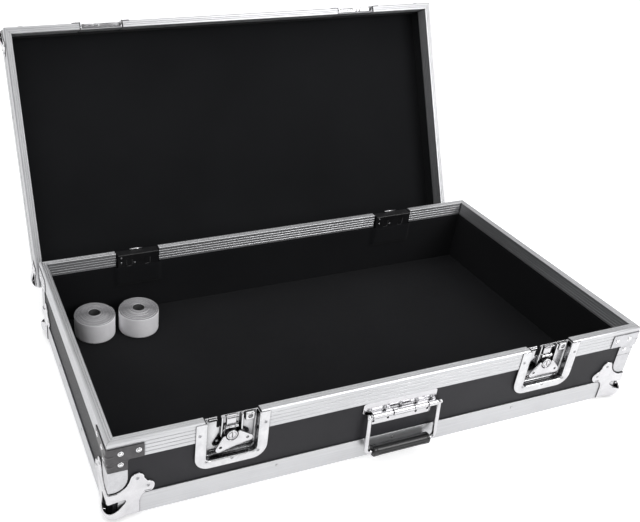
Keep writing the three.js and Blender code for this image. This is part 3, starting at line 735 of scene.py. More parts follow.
def ramp(v, start, length):
    """0 before start, 1 after start + length, smooth between them."""
    t = np.clip((v - start) / length, 0, 1)
    return t * t * (3 - 2 * t)


def lobed_outline(size):
    points = [(-12, -12), (50, -12), (50, 26)]
    points += bow((50, 26), (52, 38), (60, 43))
    points += arc(64, 52.5, 11.2, -1.1, 1.6)
    points += arc(47.5, 73, 11.2, -0.1, 2.9)
    points += bow(points[-1], (33, 57), (14, 50.6)) + [(-12, 50.4)]
    return outline([(u * size, w * size) for u, w in points])


def hollow_over_ball(x, y, z):
    """(opening cut through the plates and the ball, inside of the ball's shell)."""
    spread = abs(x - y)
    top = 31 + 4 * least(spread / 26, 1)
    rim = 13.5 + 16.5 * (spread / HOLLOW_REACH) ** 2
    depth = least(np.hypot(x + 4, y + 4) - 17, y - 0.1, x - 0.1)
    opening = smooth_max(most(rim - z, z - top), spread - HOLLOW_REACH, 4)
    inside = smooth_max(from_point(x, y, z, BALL_AT) - (BALL - HOLLOW_SHELL), 4 - z, 3)
    inside = most(inside, most(x, y) - BALL_OVERHANG)
    return smooth_max(opening, depth, 1.5), inside


def ball_corner(size, angle_leg, height, drop):
    """Ball with two lobes on each upright face, and the hollow pressed above it."""
    flat = lobed_outline(size)

    def field(x, y, z):
        along = most(x, y)
        edge = flat(along, z)
        off = eased(x, y, z)
        recessed = (z > angle_leg + GAP) & (z < height - RIM_FACE - GAP)
        bead = 0.45 * bell(edge, -1.8, 1.1) * (z > 3)
        down = drop * ramp(z, angle_leg, 12)
        inner = np.where(recessed, CUT_INTO, GAP) - off
        plate = most(off - GAP - PLATE - bead + down, inner)
        plate = smooth_max(plate, edge, 0.9)
        ball = most(from_point(x, y, z, BALL_AT) - BALL, -FOOT - z)
        notch = most(along - BALL_OVERHANG, z - BALL_TOP)
        whole = most(smooth_min(plate, ball, 5), least(inner, notch))
        opening, inside = hollow_over_ball(x, y, z)
        whole = cut(whole, opening, 1.0)
        return cut(whole, inside, 0.8)

    reach = 75 * size + 1.5
    hi = (reach, reach, max(84 * size, 38))
    mesh = solid("ball_corner", field, (-9, -9, -9.3), hi, 0.85)
    # Faces in the hollow, or close to it, take the second, darker material: painted shade.
    centres = np.array([p.center for p in mesh.polygons])
    dark = least(*hollow_over_ball(*centres.T)) < HOLLOW_SHADE
    mesh.polygons.foreach_set("material_index", dark.astype(np.int32))
    return mesh


BRACE_ARM = 58
BRACE_TONGUE = 33
BRACE_PLATE_END = 96  # where the riveted plate stops and the smooth tongue goes on
BRACE_END = 52
BRACE_RIBS = (BASE_HEIGHT - 25, BASE_HEIGHT - 47)
RIB_LENGTH = 13


def brace_outline(end, round_end):
    top, bottom = BASE_HEIGHT - 10, BASE_HEIGHT - RIM_FACE + 0.5
    points = [(-12, top), (BRACE_ARM - 1, top), (BRACE_ARM, top - 1), (BRACE_ARM, bottom)]
    points += [(BRACE_TONGUE + 2, bottom), (BRACE_TONGUE, bottom - 2)]
    if round_end:
        points += [(BRACE_TONGUE, end + 24)]
        points += bow(points[-1], (BRACE_TONGUE - 2, end + 4), (12, end))
    else:
        points += [(BRACE_TONGUE, end)]
    return outline(points + [(-12, end)])


def corner_brace():
    """The L of two riveted arms, with pressed ribs across the case's upright edge."""
    flat = brace_outline(BRACE_PLATE_END, False)

    def field(x, y, z):
        along = most(x, y)
        off = eased(x + 0 * z, y + 0 * z) + STEP_IN * ramp(-z, RIM_FACE - BASE_HEIGHT + 1, 4)
        ribs = sum(bell(z, level, 1.6) for level in BRACE_RIBS)
        ribs = 0.9 * ribs * np.clip((RIB_LENGTH - along) / 5, 0, 1)
        plate = most(off - GAP - PLATE - ribs, GAP - off)
        return smooth_max(plate, flat(along, z), 0.9)

    lo = (-3.5, -3.5, BRACE_PLATE_END - 2)
    hi = (BRACE_ARM + 2, BRACE_ARM + 2, BASE_HEIGHT - 8)
    return solid("corner_brace", field, lo, hi, 0.7)


def corner_tongue():
    """Smooth bright tongue that runs down the upright edge, out of the brace."""
    flat = brace_outline(BRACE_END, True)

    def field(x, y, z):
        along = most(x, y)
        off = eased(x + 0 * z, y + 0 * z)
        plate = most(off - GAP - PLATE + STEP_IN + 0.3, -2.2 - off)
        shape = most(flat(along, z), z - BRACE_PLATE_END + 0.2)
        return smooth_max(plate, shape, 1.6)

    lo = (-3.5, -3.5, BRACE_END - 2)
    hi = (BRACE_TONGUE + 2, BRACE_TONGUE + 2, BRACE_PLATE_END + 2)
    return solid("corner_tongue", field, lo, hi, 0.7)


def on_both_faces(spots, kind):
    """Rivets at (along the face, height, outwards) on the two upright faces of a corner."""
    front = rivets_at([(u, -out, w) for u, w, out in spots], kind, FACING_FRONT)
    side = rivets_at([(-out, u, w) for u, w, out in spots], kind, FACING_SIDE)
    return joined_meshes("rivets", front + side)


LOWERED = PROUD - STEP_IN  # and where it lies on the board
LOBE_FACE = PROUD - LOBE_DROP
BRACE_RIVETS = [(21, 133, PROUD), (49, 133.5, PROUD), (21.5, 109, LOWERED)]
LOBE_RIVETS = [(47.5, 73.5, LOBE_FACE), (64.5, 54, LOBE_FACE)]
LID_SIZE = 0.72
LID_LOBE_RIVETS = [(u * LID_SIZE, w * LID_SIZE, PROUD) for u, w, _ in LOBE_RIVETS]
BASE_LEG, LID_LEG = 40, 24  # height of the edge angles
UPSIDE_DOWN = Matrix.Diagonal((1, 1, -1, 1))

brace_mesh, tongue_mesh = corner_brace(), corner_tongue()
base_ball = ball_corner(1.0, BASE_LEG, BASE_HEIGHT, LOBE_DROP)
lid_ball = ball_corner(LID_SIZE, LID_LEG, LID_TOP - LID_RIM, 0)
brace_rivets = on_both_faces(BRACE_RIVETS, DOMED)
base_rivets = on_both_faces(LOBE_RIVETS, SPLIT)
lid_rivets = on_both_faces(LID_LOBE_RIVETS, SPLIT)

for corner, (x, y, turn) in CORNERS.items():
    spin = rotate(turn, "Z")
    upright = move(x, y, FOOT) @ spin
    over = LID @ move(x, y, LID_TOP) @ spin @ UPSIDE_DOWN
    for half, mesh, where in (("base", base_ball, upright), ("lid", lid_ball, over)):
        made = look(f"{half}_ball_corner_{corner}", mesh, where, half, "chrome_steel")
        # The second material is the painted shade of the hollow.
        made.data.materials.append(SHADOWED)
    # Painted shade: the front-left brace takes the darker copy of the zinc plate.
    front_left_shade = SHADED_BRACE_PLATE if corner == "front_left" else None
    look(f"base_corner_brace_{corner}", brace_mesh, upright, "base", "zinc_steel", front_left_shade)
    piece(f"brace_tongue_{corner}", tongue_mesh, upright, "base", "zinc_steel")
    piece(f"brace_rivets_{corner}", brace_rivets, upright, "base", "chrome_steel", RIVET_STEEL)
    piece(f"base_ball_rivets_{corner}", base_rivets, upright, "base", "zinc_steel")
    piece(f"lid_ball_rivets_{corner}", lid_rivets, over, "lid", "zinc_steel")


# ---- latches ----
# Drawn about the cam's axis: x along the case, y inwards from its front face, z up.
LATCH = {hand: Vector(JOINTS[f"latch_turn_{hand}"]["pos_m"]) / MM for hand in ("left", "right")}
CAM_Z = LATCH["left"].z
RIM_UP = RIM - CAM_Z
DISH_HALF = 43
DISH_LOW = -41
DISH_FLOOR = 10.1
DISH_BACK = DISH_FLOOR + 0.4  # fittings in the dish run this far into its floor
DISH_WALL = 1.2
FLANGE_HALF = 61.5
FLANGE_RADIUS = 25
FLANGE_LOW = low("latch_dish_left").z - CAM_Z
LID_DISH_LOW = -33
LID_FLANGE_LOW = -50
POCKET_TOP = 60  # well above any cut
NO_GAP = (900, 901)  # well outside the dish


def pocket(half, bottom, top, radius):
    points = [(-half, top)]
    points += arc(-half + radius, bottom + radius, radius, math.pi, 1.5 * math.pi)
    points += arc(half - radius, bottom + radius, radius, 1.5 * math.pi, 2 * math.pi)
    return outline(points + [(half, top)])


def dish(bottom, flange_bottom, top, recessed, gap):
    """Pressed dish with a rolled lip, in a flange that is cut off level at `top`.

    The flange's edge is drawn down onto the board wherever recessed(z) holds. `gap` is the
    slot in x, above z = 14, where the dish is cut through beside the hook.
    """
    opening = pocket(DISH_HALF, bottom, POCKET_TOP, 8)
    outer = pocket(DISH_HALF + DISH_WALL, bottom - DISH_WALL, POCKET_TOP, 9)
    flange = pocket(FLANGE_HALF, flange_bottom, POCKET_TOP, FLANGE_RADIUS)

    def field(x, y, z):
        lip = opening(x, z)
        roll = 0.9 * bell(lip, 1.5, 1.1)
        front = both(flange(x, z), -GAP - PLATE - roll - y, 2.0)
        plate = most(front, y - np.where(recessed(z), 2.2, -GAP))
        pan = most(outer(x, z), slab(y, -GAP - PLATE, DISH_FLOOR + DISH_WALL))
        hollow = both(lip, y - DISH_FLOOR, 3.0)
        whole = smooth_max(least(plate, pan), -hollow, 1.4)
        whole = cut(whole, both(slab(x, *gap), 14 - z, 2.0), 0.4)
        return smooth_max(whole, z - top, 0.5)

    return field


def dish_solid(name, field, bottom, top):
    lo = (-FLANGE_HALF - 1.5, -4, bottom)
    return solid(name, field, lo, (FLANGE_HALF + 1.5, DISH_FLOOR + 3, top), 0.7)


def latch_dish():
    end_of_rim = RIM_UP - RIM_FACE - GAP
    field = dish(DISH_LOW, FLANGE_LOW, RIM_UP - 2, lambda z: z < end_of_rim, (-23.5, -17.5))
    return dish_solid("latch_dish", field, FLANGE_LOW - 2, RIM_UP)


def dish_details(x, y, z):
    """Guides beside the hook, a ledge, a dimpled stop, a spring and a pad on the floor."""
    guide = box(x, y, z, (15.3, 4.2, -4), (18.3, DISH_BACK, RIM_UP - 3), 0.7)
    guide_left = box(x, y, z, (-17.6, 5.5, -4), (-15.3, DISH_BACK, RIM_UP - 3), 0.7)
    ledge = box(x, y, z, (-38, 7.6, 29), (-24, DISH_BACK, 33.5), 0.8)
    stop = box(x, y, z, (22, 4.2, 20), (38, DISH_BACK, RIM_UP - 3.5), 2.6)
    dimple = from_point(x, y, z, (30, 3.7, 28)) - 4.0
    stop = cut(stop, dimple, 0.6)
    spring = np.hypot(np.hypot(x, z + 1) - 15.5, y - 8.2) - 1.1
    pad = box(x, y, z, (-34, 8.2, -34), (34, DISH_BACK, -30), 0.7)
    return least(guide, guide_left, ledge, stop, spring, pad)


def latch_wing():
    """Butterfly wing: pressed plate with a turned lip and a hole in each half."""
    points = [(10.4, 3), (13.9, 3), (31, -16)]
    points += arc(26, -20, 6, 0.6, -QUARTER)
    points += bow(points[-1], (0, -24), (-26, -26))
    points += arc(-26, -20, 6, -QUARTER, -math.pi - 0.6)
    points += [(-13.9, 3), (-10.4, 3)] + arc(0, 0, 10.4, math.pi, 2 * math.pi, 16)[1:-1]
    flat = outline(points)

    def field(x, y, z):
        edge = flat(x, z)
        swell = 0.5 * bell(edge, -1.3, 0.9)
        plate = both(edge, slab(y, 1.2 - swell, 3.2), 0.5)
        holes = np.hypot(abs(x) - 23, z + 17) - 2.4
        return cut(plate, holes, 0.5)

    return solid("latch_wing", field, (-34, -0.5, -28), (34, 4, 5), 0.5)


def latch_cam(x, y, z):
    """Round button with a turned ring, a coin slot and the stub behind it."""
    r = np.hypot(x, z)
    button = both(r - 9, slab(y, 0.9, 7.2), 0.8)
    ring = np.hypot(r - 6.4, y - 0.9) - 0.75
    slot = both(abs(x) - 0.8, abs(z) - 4.6, 0.3)
    button = cut(button, ring, 0.4)
    button = cut(button, most(slot, y - 2.1), 0.3)
    stub = most(r - 4, slab(y, 6.8, 9.8))
    return least(button, stub)


def latch_hook(x, y, z):
    """Claw plate with a rolled shoulder, a narrow neck and a turned-over nose."""
    top = RIM_UP - 3
    plate = box(x, y, z, (-12, 7.7, -18.6), (12, 9.5, 17), 0.5)
    neck = box(x, y, z, (-8, 7.7, 10), (8, 9.5, top), 0.5)
    nose = box(x, y, z, (-10, 3.6, top - 2.8), (10, 9.3, top), 0.8)
    from_roll = np.hypot(y - 6.9, z - 13.5)
    from_turn = abs(abs(x) - 5)
    roll = smooth_max(both(abs(x) - 11, from_roll - 3.0, 0.8), 0.8 - from_turn, 0.2)
    turns = both(from_turn - 0.7, from_roll - 2.3, 0.3)
    slot = both(abs(x) - 4.6, slab(z, -14, 5.5), 4.0)
    plate = smooth_min(least(plate, neck), nose, 1)
    whole = smooth_min(plate, roll, 0.6)
    return smooth_max(least(whole, turns), -slot, 0.4)


FLANGE_SPOTS = [(-55, 15), (54, 15), (-42, -41.5), (1, -45), (45, -41.5)]
LID_FLANGE_SPOTS = [(-52, -14), (52, -14), (-40, -40), (0, -42), (40, -40)]


def flange_rivets(spots):
    return rivet_row([(u, -PROUD, w) for u, w in spots], SPLIT, FACING_FRONT)


dish_mesh = latch_dish()
detail_mesh = solid("dish_details", dish_details, (-40, -2, -40), (40, 11.5, 37), 0.6)
wing_mesh = latch_wing()
cam_mesh = solid("latch_cam", latch_cam, (-10, -1, -10), (10, 10.6, 10), 0.35)
hook_mesh = solid("latch_hook", latch_hook, (-13, 2.6, -20), (13, 10.3, 36.5), 0.5)
dish_rivets = flange_rivets(FLANGE_SPOTS)

for hand, at in LATCH.items():
    here = move(at.x, FRONT, CAM_Z)
    look(f"latch_dish_{hand}", dish_mesh, here, "base", "chrome_steel", DISH_CHROME)
    piece(f"latch_guides_{hand}", detail_mesh, here, "base", "chrome_steel", DISH_CHROME)
    piece(f"latch_rivets_{hand}", dish_rivets, here, "base", "zinc_steel")
    # A wing rests turned by as much as its cam can still turn back.
    left_over = math.radians(JOINTS[f"latch_turn_{hand}"]["range_deg"][0])
    wing_here = here @ rotate(left_over, "Y")
    for part, mesh, where in (
        ("wing", wing_mesh, wing_here),
        ("cam", cam_mesh, here),
        ("hook", hook_mesh, here),
    ):
        name = f"latch_{part}_{hand}"
        look(name, mesh, where, name, "chrome_steel")


def lid_dish():
    """The matching dish in the lid, drawn upside down from the lid's rim."""
    field = dish(LID_DISH_LOW, LID_FLANGE_LOW, -1.5, lambda z: z < -RIM_FACE - GAP, NO_GAP)

    def with_strike(x, y, z):
        plate = box(x, y, z, (-40, 0.8, -9.5), (40, DISH_FLOOR + 0.6, -6.5), 0.8)
        ridge = np.hypot(y - 4.6 - 0.05 * x, z + 6.4) - 1.5
        plate = smooth_min(plate, both(ridge, slab(x, -36, -4), 0.5), 0.8)
        slots = both(abs(abs(x - 9) - 4) - 1.3, slab(y, 3.2, 8.2), 0.5)
        plate = cut(plate, slots, 0.5)
        return least(field(x, y, z), plate)

    return dish_solid("lid_dish", with_strike, LID_FLANGE_LOW - 2, 0.5)


def lid_dish_cover(x, y, z):
    """Angle folded over the board behind the lid's dish, in line with the rim."""
    leg = box(x, y, z, (-44.5, 12.0, -28), (44.5, 13.8, -0.8), 0.5)
    lip = box(x, y, z, (-44.5, DISH_FLOOR + 1.8, -2.4), (44.5, 13.8, -0.8), 0.5)
    return least(leg, lip)


lid_dish_mesh = lid_dish()
cover_mesh = solid("cover", lid_dish_cover, (-46, 10.5, -29.5), (46, 15.2, 0.6), 0.8)
lid_dish_rivets = flange_rivets(LID_FLANGE_SPOTS)
for hand, at in LATCH.items():
    over = LID @ move(at.x, FRONT, LID_RIM) @ UPSIDE_DOWN
    look(f"lid_latch_dish_{hand}", lid_dish_mesh, over, "lid", "chrome_steel", DISH_CHROME)
    piece(f"lid_latch_rivets_{hand}", lid_dish_rivets, over, "lid", "zinc_steel")
    piece(f"lid_latch_cover_{hand}", cover_mesh, over, "lid", "aluminium_extrusion")


# ---- handle ----
BARREL_Y, BARREL_Z = [v / MM for v in JOINTS["handle_swing"]["pos_m"][1:]]
BARREL_HALF = 62
HANDLE_X = (low("handle_plate").x + high("handle_plate").x) / 2
BAIL_AT = (low("handle_grip").x + high("handle_grip").x) / 2
BAIL_SHIFT = BAIL_AT - HANDLE_X
BAIL_LEG = 67  # from the bail's middle to its legs
BAIL_WIRE = 4.0
WIRE_HOLE = BAIL_WIRE + 0.25
LEAF_SHIFT = 7
PLATE_HALF = 70.5
LEAF_HALF = 58
LEAF_HOLES = [(-47, -17.5), (-19, -17), (35, -17), (58, -16.5)]
# The barrel's segments: from, to, radius.
BARREL = ((-62, -25, 5.2), (-23.6, 16, 6.2), (17.4, 43, 5.2), (44.4, 62, 5.6))
HANDLE_TOP = high("handle_plate").z - BARREL_Z
HANDLE_LOW = low("handle_plate").z - BARREL_Z
HANDLE_FACE = FRONT + RECESS - GAP - BARREL_Y  # inner face of the plate, from the barrel


def handle_plate():
    """Plate with rolled barrel segments around the bail's wire."""
    left, right = LEAF_SHIFT - LEAF_HALF, LEAF_SHIFT + LEAF_HALF
    points = [(left, HANDLE_LOW + 3), (left + 3, HANDLE_LOW)]
    points += [(right - 3, HANDLE_LOW), (right, HANDLE_LOW + 3), (right, -6)]
    points += [(PLATE_HALF, 4)] + arc(PLATE_HALF - 5, HANDLE_TOP - 5, 5, 0, QUARTER, 5)
    points += arc(-PLATE_HALF + 5, HANDLE_TOP - 5, 5, QUARTER, math.pi, 5)
    points += [(-PLATE_HALF, 4), (left, -6)]
    flat = outline(points)

    def field(x, y, z):
        plate = both(flat(x, z), slab(y, HANDLE_FACE - PLATE, HANDLE_FACE), 0.4)
        # The bead pressed along the lower leaf, and the step up to the barrel.
        bead = abs(x - LEAF_SHIFT) - LEAF_HALF + 6
        bead = both(bead, np.hypot(y - HANDLE_FACE + 1.5, z + 10.5) - 1.8, 0.3)
        cuts = least(*[np.hypot(x - u, z - w) - 2.0 for u, w in LEAF_HOLES])
        leaf = smooth_max(smooth_min(plate, bead, 0.8), -cuts, 0.4)
        r = np.hypot(y, z)
        along = x - BAIL_SHIFT
        segments = [both(slab(along, x0, x1), r - size, 0.5) for x0, x1, size in BARREL]
        strap = both(abs(along) - BARREL_HALF, slab(z, 1.5, 5.2), 0.3)
        strap = most(strap, slab(y, 0, HANDLE_FACE - 0.5))
        whole = smooth_min(leaf, least(*segments, strap), 1.2)
        return smooth_max(whole, WIRE_HOLE - r, 0.3)

    lo = (-PLATE_HALF - 1, -7, HANDLE_LOW - 1)
    hi = (PLATE_HALF + 3, HANDLE_FACE + 1, HANDLE_TOP + 1)
    return solid("handle_plate", field, lo, hi, 0.6)


def rounded_path(corners, radii, steps=8):
    path = [corners[0]]
    for i in range(1, len(corners) - 1):
        at, r = corners[i], radii[i - 1]
        before = at + (corners[i - 1] - at).normalized() * r
        after = at + (corners[i + 1] - at).normalized() * r
        for t in np.linspace(0, 1, steps):
            path.append(before * (1 - t) ** 2 + at * 2 * t * (1 - t) + after * t**2)
    return path + [corners[-1]]


def tube(name, path, radius, count=20):
    """Round wire along a path that lies in one plane."""
    section = arc(0, 0, radius, 0, 2 * math.pi, count + 1)[:-1]
    plane = (path[len(path) // 2] - path[0]).cross(path[-1] - path[0]).normalized()
    stations = []
    for i, at in enumerate(path):
        along = (path[min(i + 1, len(path) - 1)] - path[max(i - 1, 0)]).normalized()
        stations.append((at, plane, along.cross(plane).normalized()))
    return swept(name, stations, section)


grip_lo, grip_hi = low("handle_grip"), high("handle_grip")
GRIP_AT = (grip_lo + grip_hi) / 2
GRIP_HALF = (grip_hi.x - grip_lo.x) / 2
GRIP = (grip_hi.z - grip_lo.z) / 2
END_KNOB = [(0, 0), (3.6, 0.2), (4.4, 1.2), (4.4, 5), (3.4, 6.2), (0, 6.4)]


def handle_bail():
    """Bent wire through the barrel and the grip, with a knob at each shoulder."""
    shoulder = Vector((BAIL_LEG, BARREL_Y, BARREL_Z))
    foot = Vector((BAIL_LEG, GRIP_AT.y, GRIP_AT.z))
    half = [shoulder - Vector((19, 0, 0)), shoulder, foot]
    corners = half + [Vector((-p.x, p.y, p.z)) for p in reversed(half)]
    bail = tube("bail", rounded_path(corners, [5, 9, 9, 5]), BAIL_WIRE)
    knob = turned("knob", END_KNOB, 20)
    parts = [(bail, Matrix())]
    for s in (-1, 1):
        turn = rotate(s * QUARTER, "Y")
        parts.append((knob, move(s * (BAIL_LEG - 1), BARREL_Y, BARREL_Z) @ turn))
    return joined_meshes("bail", parts)


def handle_grip():
    """Moulded sleeve: flattened oval with a collar at each end and a mould line."""

    def field(x, y, z):
        r = np.hypot(y, z)
        waist = 1 - 0.05 * np.clip((GRIP_HALF - abs(x) - 6) / 10, 0, 1)
        oval = smooth_max(r - GRIP * waist, abs(y) - GRIP * 0.93, 2.5)
        sleeve = both(oval, abs(x) - GRIP_HALF, 1.6)
        groove = np.hypot(abs(x) - GRIP_HALF + 5.5, r - GRIP) - 0.7
        sleeve = cut(sleeve, groove, 0.5)
        seam = most(abs(z) - 0.3, abs(y) - GRIP + 0.15, abs(x) - GRIP_HALF + 8)
        return most(least(sleeve, seam), WIRE_HOLE - r)

    reach = (GRIP_HALF + 1, GRIP + 1, GRIP + 1)
    return solid("grip", field, tuple(-v for v in reach), reach, 0.6)


barrel_here = move(HANDLE_X, BARREL_Y, BARREL_Z)
look("handle_plate", handle_plate(), barrel_here, "base", "chrome_steel")
bail_here = move(BAIL_AT, 0, 0)
look("handle_bail", handle_bail(), bail_here, "handle", "chrome_steel")
look("handle_grip", handle_grip(), move(*GRIP_AT), "handle", "rubber_grip")
handle_here = move(HANDLE_X, 0, 0)
handle_face = FRONT + RECESS - GAP - PLATE
handle_spots = [(-58, 9), (-30, 9.5), (0, 9.5), (31, 9.5), (60, 9)]
handle_spots = [(u, handle_face, BARREL_Z + w) for u, w in handle_spots]
handle_rivets = rivet_row(handle_spots, DOMED, FACING_FRONT)
piece("handle_rivets", handle_rivets, handle_here, "base", "zinc_steel")


# ---- rivets along the edges ----
MIDDLE_Y = (FRONT + BACK) / 2
# Middle of each side, its turn about z, and where rivets stand along it.
SIDES = {
    "front": (0, FRONT, 0, (-217, 0, 248)),
    "back": (0, BACK, math.pi, (-248, 0, 217)),
    "left": (LEFT, MIDDLE_Y, -QUARTER, (-90, 90)),
    "right": (RIGHT, MIDDLE_Y, QUARTER, (-90, 90)),
}
for side, (x, y, turn, stations) in SIDES.items():
    here = move(x, y, 0) @ rotate(turn, "Z")
    for prefix, height, where, half in (
        ("edge_rivets_", FOOT + 29, here, "base"),
        ("lid_edge_rivets_", LID_TOP - 17, LID @ here, "lid"),
    ):
        row = rivet_row([(u, -0.2, height) for u in stations], SMALL, FACING_FRONT)
        piece(prefix + side, row, where, half, "zinc_steel")


# ---- hinges ----
HINGE_X = (low("hinge_box_right").x + high("hinge_box_right").x) / 2
BOX_HALF = 43
BOX_DEPTH = 20
BOX_WALL = 1.5
BOX_LIP = 7.5  # width of the flange around the box
LIP_PLATE = 1.3
BOX_LOW, BOX_HIGH = RIM - 69, RIM - 2.5
PIN_Y = BACK - PIVOT.y
LEAF_PLATE = 2.5


def hinge_box(x, y, z):
    """Pressed box let into the rear wall, open to the rear, with its flange and pin.

    y is measured inwards from the case's rear face.
    """
    shell = box(x, y, z, (-BOX_HALF, -GAP, BOX_LOW), (BOX_HALF, BOX_DEPTH, BOX_HIGH), 1.4)
    lip_lo = (-BOX_HALF - BOX_LIP, -GAP - LIP_PLATE, BOX_LOW - BOX_LIP)
    flange = box(x, y, z, lip_lo, (BOX_HALF + BOX_LIP, -GAP, BOX_HIGH - 12), 0.4)
    inner_lo = (-BOX_HALF + BOX_WALL, -9, BOX_LOW + BOX_WALL)
    inner_hi = (BOX_HALF - BOX_WALL, BOX_DEPTH - BOX_WALL, BOX_HIGH - BOX_WALL)
    hollow = box(x, y, z, inner_lo, inner_hi, 1.0)
    dents = both(abs(abs(x) - 19) - 6, abs(z - RIM + 20) - 9, 3)
    face = most(shell, -hollow)
    face = cut(face, most(dents, BOX_DEPTH - 0.5 - y), 0.4)
    pin = most(np.hypot(y - PIN_Y, z - PIVOT.z) - 3, abs(x) - BOX_HALF + 0.5)
    bar = box(x, y, z, (-11.5, 1, BOX_HIGH - 1), (11.5, 4, RIM), 0.6)
    return least(face, most(flange, -hollow), pin, bar)


hinge_lo = (-BOX_HALF - 8.5, -2.6, BOX_LOW - 8.5)
hinge_hi = (BOX_HALF + 8.5, BOX_DEPTH + 1, RIM + 1)
box_mesh = solid("hinge_box", hinge_box, hinge_lo, hinge_hi, 0.7)
FROM_BACK = move(0, BACK, 0) @ Matrix.Diagonal((1, -1, 1, 1))
inside_face, rear_face = BACK - BOX_DEPTH, BACK + GAP + LIP_PLATE
box_spots = [(u, inside_face, RIM - d) for u, d in ((-36, 9), (-36, 20), (-8, 23))]
rear_spots = [(u, rear_face, BOX_LOW - 3.8) for u in (-43, 0, 43)]
rear_spots += [(u, rear_face, RIM - 40) for u in (-46.8, 46.8)]
leaf_face = BACK + GAP + LEAF_PLATE
leaf_spots = [(u, leaf_face, LID_RIM + w) for u in (-28, 0, 28) for w in (13, 43)]
box_rivets = rivet_row(box_spots, SMALL, FACING_FRONT)
rear_rivets = rivet_row(rear_spots, SMALL, FACING_BACK)
leaf_rivets = rivet_row(leaf_spots, PLAIN, FACING_BACK)
bar = turned("bar", [(0, -14), (1.8, -14), (1.8, 14), (0, 14)], 16)
bar_mesh = joined_meshes("hinge_bar", [(bar, rotate(QUARTER, "Y"))])
for hand, x in (("left", -HINGE_X), ("right", HINGE_X)):
    here = move(x, 0, 0)
    over_wall = move(x, BACK - 2, RIM - 0.8)
    look(f"hinge_box_{hand}", box_mesh, here @ FROM_BACK, "base", "black_steel")
    piece(f"hinge_box_rivets_{hand}", box_rivets, here, "base", "zinc_steel")
    piece(f"hinge_flange_rivets_{hand}", rear_rivets, here, "base", "zinc_steel")
    piece(f"hinge_leaf_rivets_{hand}", leaf_rivets, LID @ here, "lid", "chrome_steel")
    piece(f"hinge_stiffener_{hand}", bar_mesh, over_wall, "base", "chrome_steel")
    soften(NODES[f"hinge_leaf_{hand}"], 0.4)


# ---- linings ----
def lining(name, lo, hi, open_end, pile_height, spacing, bulge=None, seed=0.0):
    """Loose-napped lining over the inside of a tray: floor and four walls, one skin.

    lo and hi are the inside of the boards; open_end says which end has no floor.
    bulge gives how much further in the lining runs over something behind it.
    """
    span = hi - lo
    work = bmesh.new()

    def sheet(origin, u, v, inward):
        nu, nv = max(2, int(u.length / spacing)), max(2, int(v.length / spacing))
        rows = []
        for i in range(nu + 1):
            row = []
            for j in range(nv + 1):
                at = origin + u * (i / nu) + v * (j / nv)
                rim = min(i, j, nu - i, nv - j) / 2
                swell = noise.noise((at + Vector((seed, 0, 0))) * 0.05)
                fuzz = noise.noise((at + Vector((0, seed, 0))) * 0.45)
                rise = pile_height * (1 + 0.05 * swell + 0.08 * fuzz) * min(1, 0.55 + rim)
                if bulge:
                    rise += bulge(at)
                row.append(work.verts.new(at + inward * rise))
            rows.append(row)
        for i in range(nu):
            for j in range(nv):
                ring = [rows[i][j], rows[i + 1][j], rows[i + 1][j + 1], rows[i][j + 1]]
                work.faces.new(ring)

    x, y, z = Vector((span.x, 0, 0)), Vector((0, span.y, 0)), Vector((0, 0, span.z))
    if open_end > 0:
        sheet(lo, x, y, Vector((0, 0, 1)))
    else:
        sheet(lo + z, y, x, Vector((0, 0, -1)))
    sheet(lo, z, x, Vector((0, 1, 0)))
    sheet(lo + y, x, z, Vector((0, -1, 0)))
    sheet(lo, y, z, Vector((1, 0, 0)))
    sheet(lo + x, z, y, Vector((-1, 0, 0)))
    mesh = bpy.data.meshes.new(name)
    work.to_mesh(mesh)
    work.free()
    smooth(mesh)
    return mesh


carpet_lo, carpet_hi = low("base_carpet_lining"), high("base_carpet_lining")


def over_hinge_box(at):
    """The rear wall's carpet runs over the hinge boxes that stand proud of the board."""
    if at.y < carpet_hi.y - 1 or at.z < FOOT + 20:
        return 0.0
    beside = abs(abs(at.x) - HINGE_X) - BOX_HALF
    below = BOX_LOW - at.z
    away = max(beside, below, 0.0)
    swell = float(1 - ramp(away, 0.0, 9.0))
    return (at.y - (BACK - BOX_DEPTH) - 1.6) * swell


carpet = lining("carpet", carpet_lo, carpet_hi, 1, 3.0, 4.0, over_hinge_box, 3.0)
look("base_carpet_lining", carpet, Matrix(), "base", "carpet", name="base_carpet")
felt = lining("felt", *closed_box("lid_felt_lining"), -1, 2.5, 4.0, None, 7.0)
look("lid_felt_lining", felt, LID, "lid", "felt", name="lid_felt")


# ---- rolls of tape ----
ROLL_OUTER = (high("tape_roll_left").x - low("tape_roll_left").x) / 2
ROLL_BORE = 11.5
ROLL_TURNS = 15
ROLL_STEPS = ROLL_TURNS * 44
CORE_INSIDE, CORE_OUTSIDE = 10.4, 11.3
# The strip's section, in shares of its thickness and of its width.
STRIP = [(0.0, 0.06), (0.18, 0.0), (0.82, 0.0), (1.0, 0.06)]
STRIP += [(1.0, 0.94), (0.82, 1.0), (0.18, 1.0), (0.0, 0.94)]


def tape_roll(width, seed):
    """One strip wound from the core outwards, its crowned top edge a little uneven."""
    thick = (ROLL_OUTER - ROLL_BORE - 1) / ROLL_TURNS * 0.88
    stations = []
    for i in range(ROLL_STEPS + 1):
        a = 2 * math.pi * ROLL_TURNS * i / ROLL_STEPS
        r = ROLL_BORE + (ROLL_OUTER - ROLL_BORE - thick - 0.4) * i / ROLL_STEPS
        wander = noise.noise(Vector((i * 0.013, seed, 0)))
        r += 0.35 * noise.noise(Vector((a * 0.7, seed, 5)))
        out = Vector((math.cos(a), math.sin(a), 0))
        base = Vector((0, 0, 0.6 + 0.5 * abs(wander)))
        crown = 6.0 * (r / ROLL_OUTER) ** 2
        ragged = 0.8 * noise.noise(Vector((a * 0.9, seed, 9)))
        top = width - 1.5 - crown + (1.1 * wander + ragged) * min(1, i / 60)
        stations.append((out * r + base, out * thick, Vector((0, 0, top - base.z))))
    return swept("tape_roll", stations, STRIP)


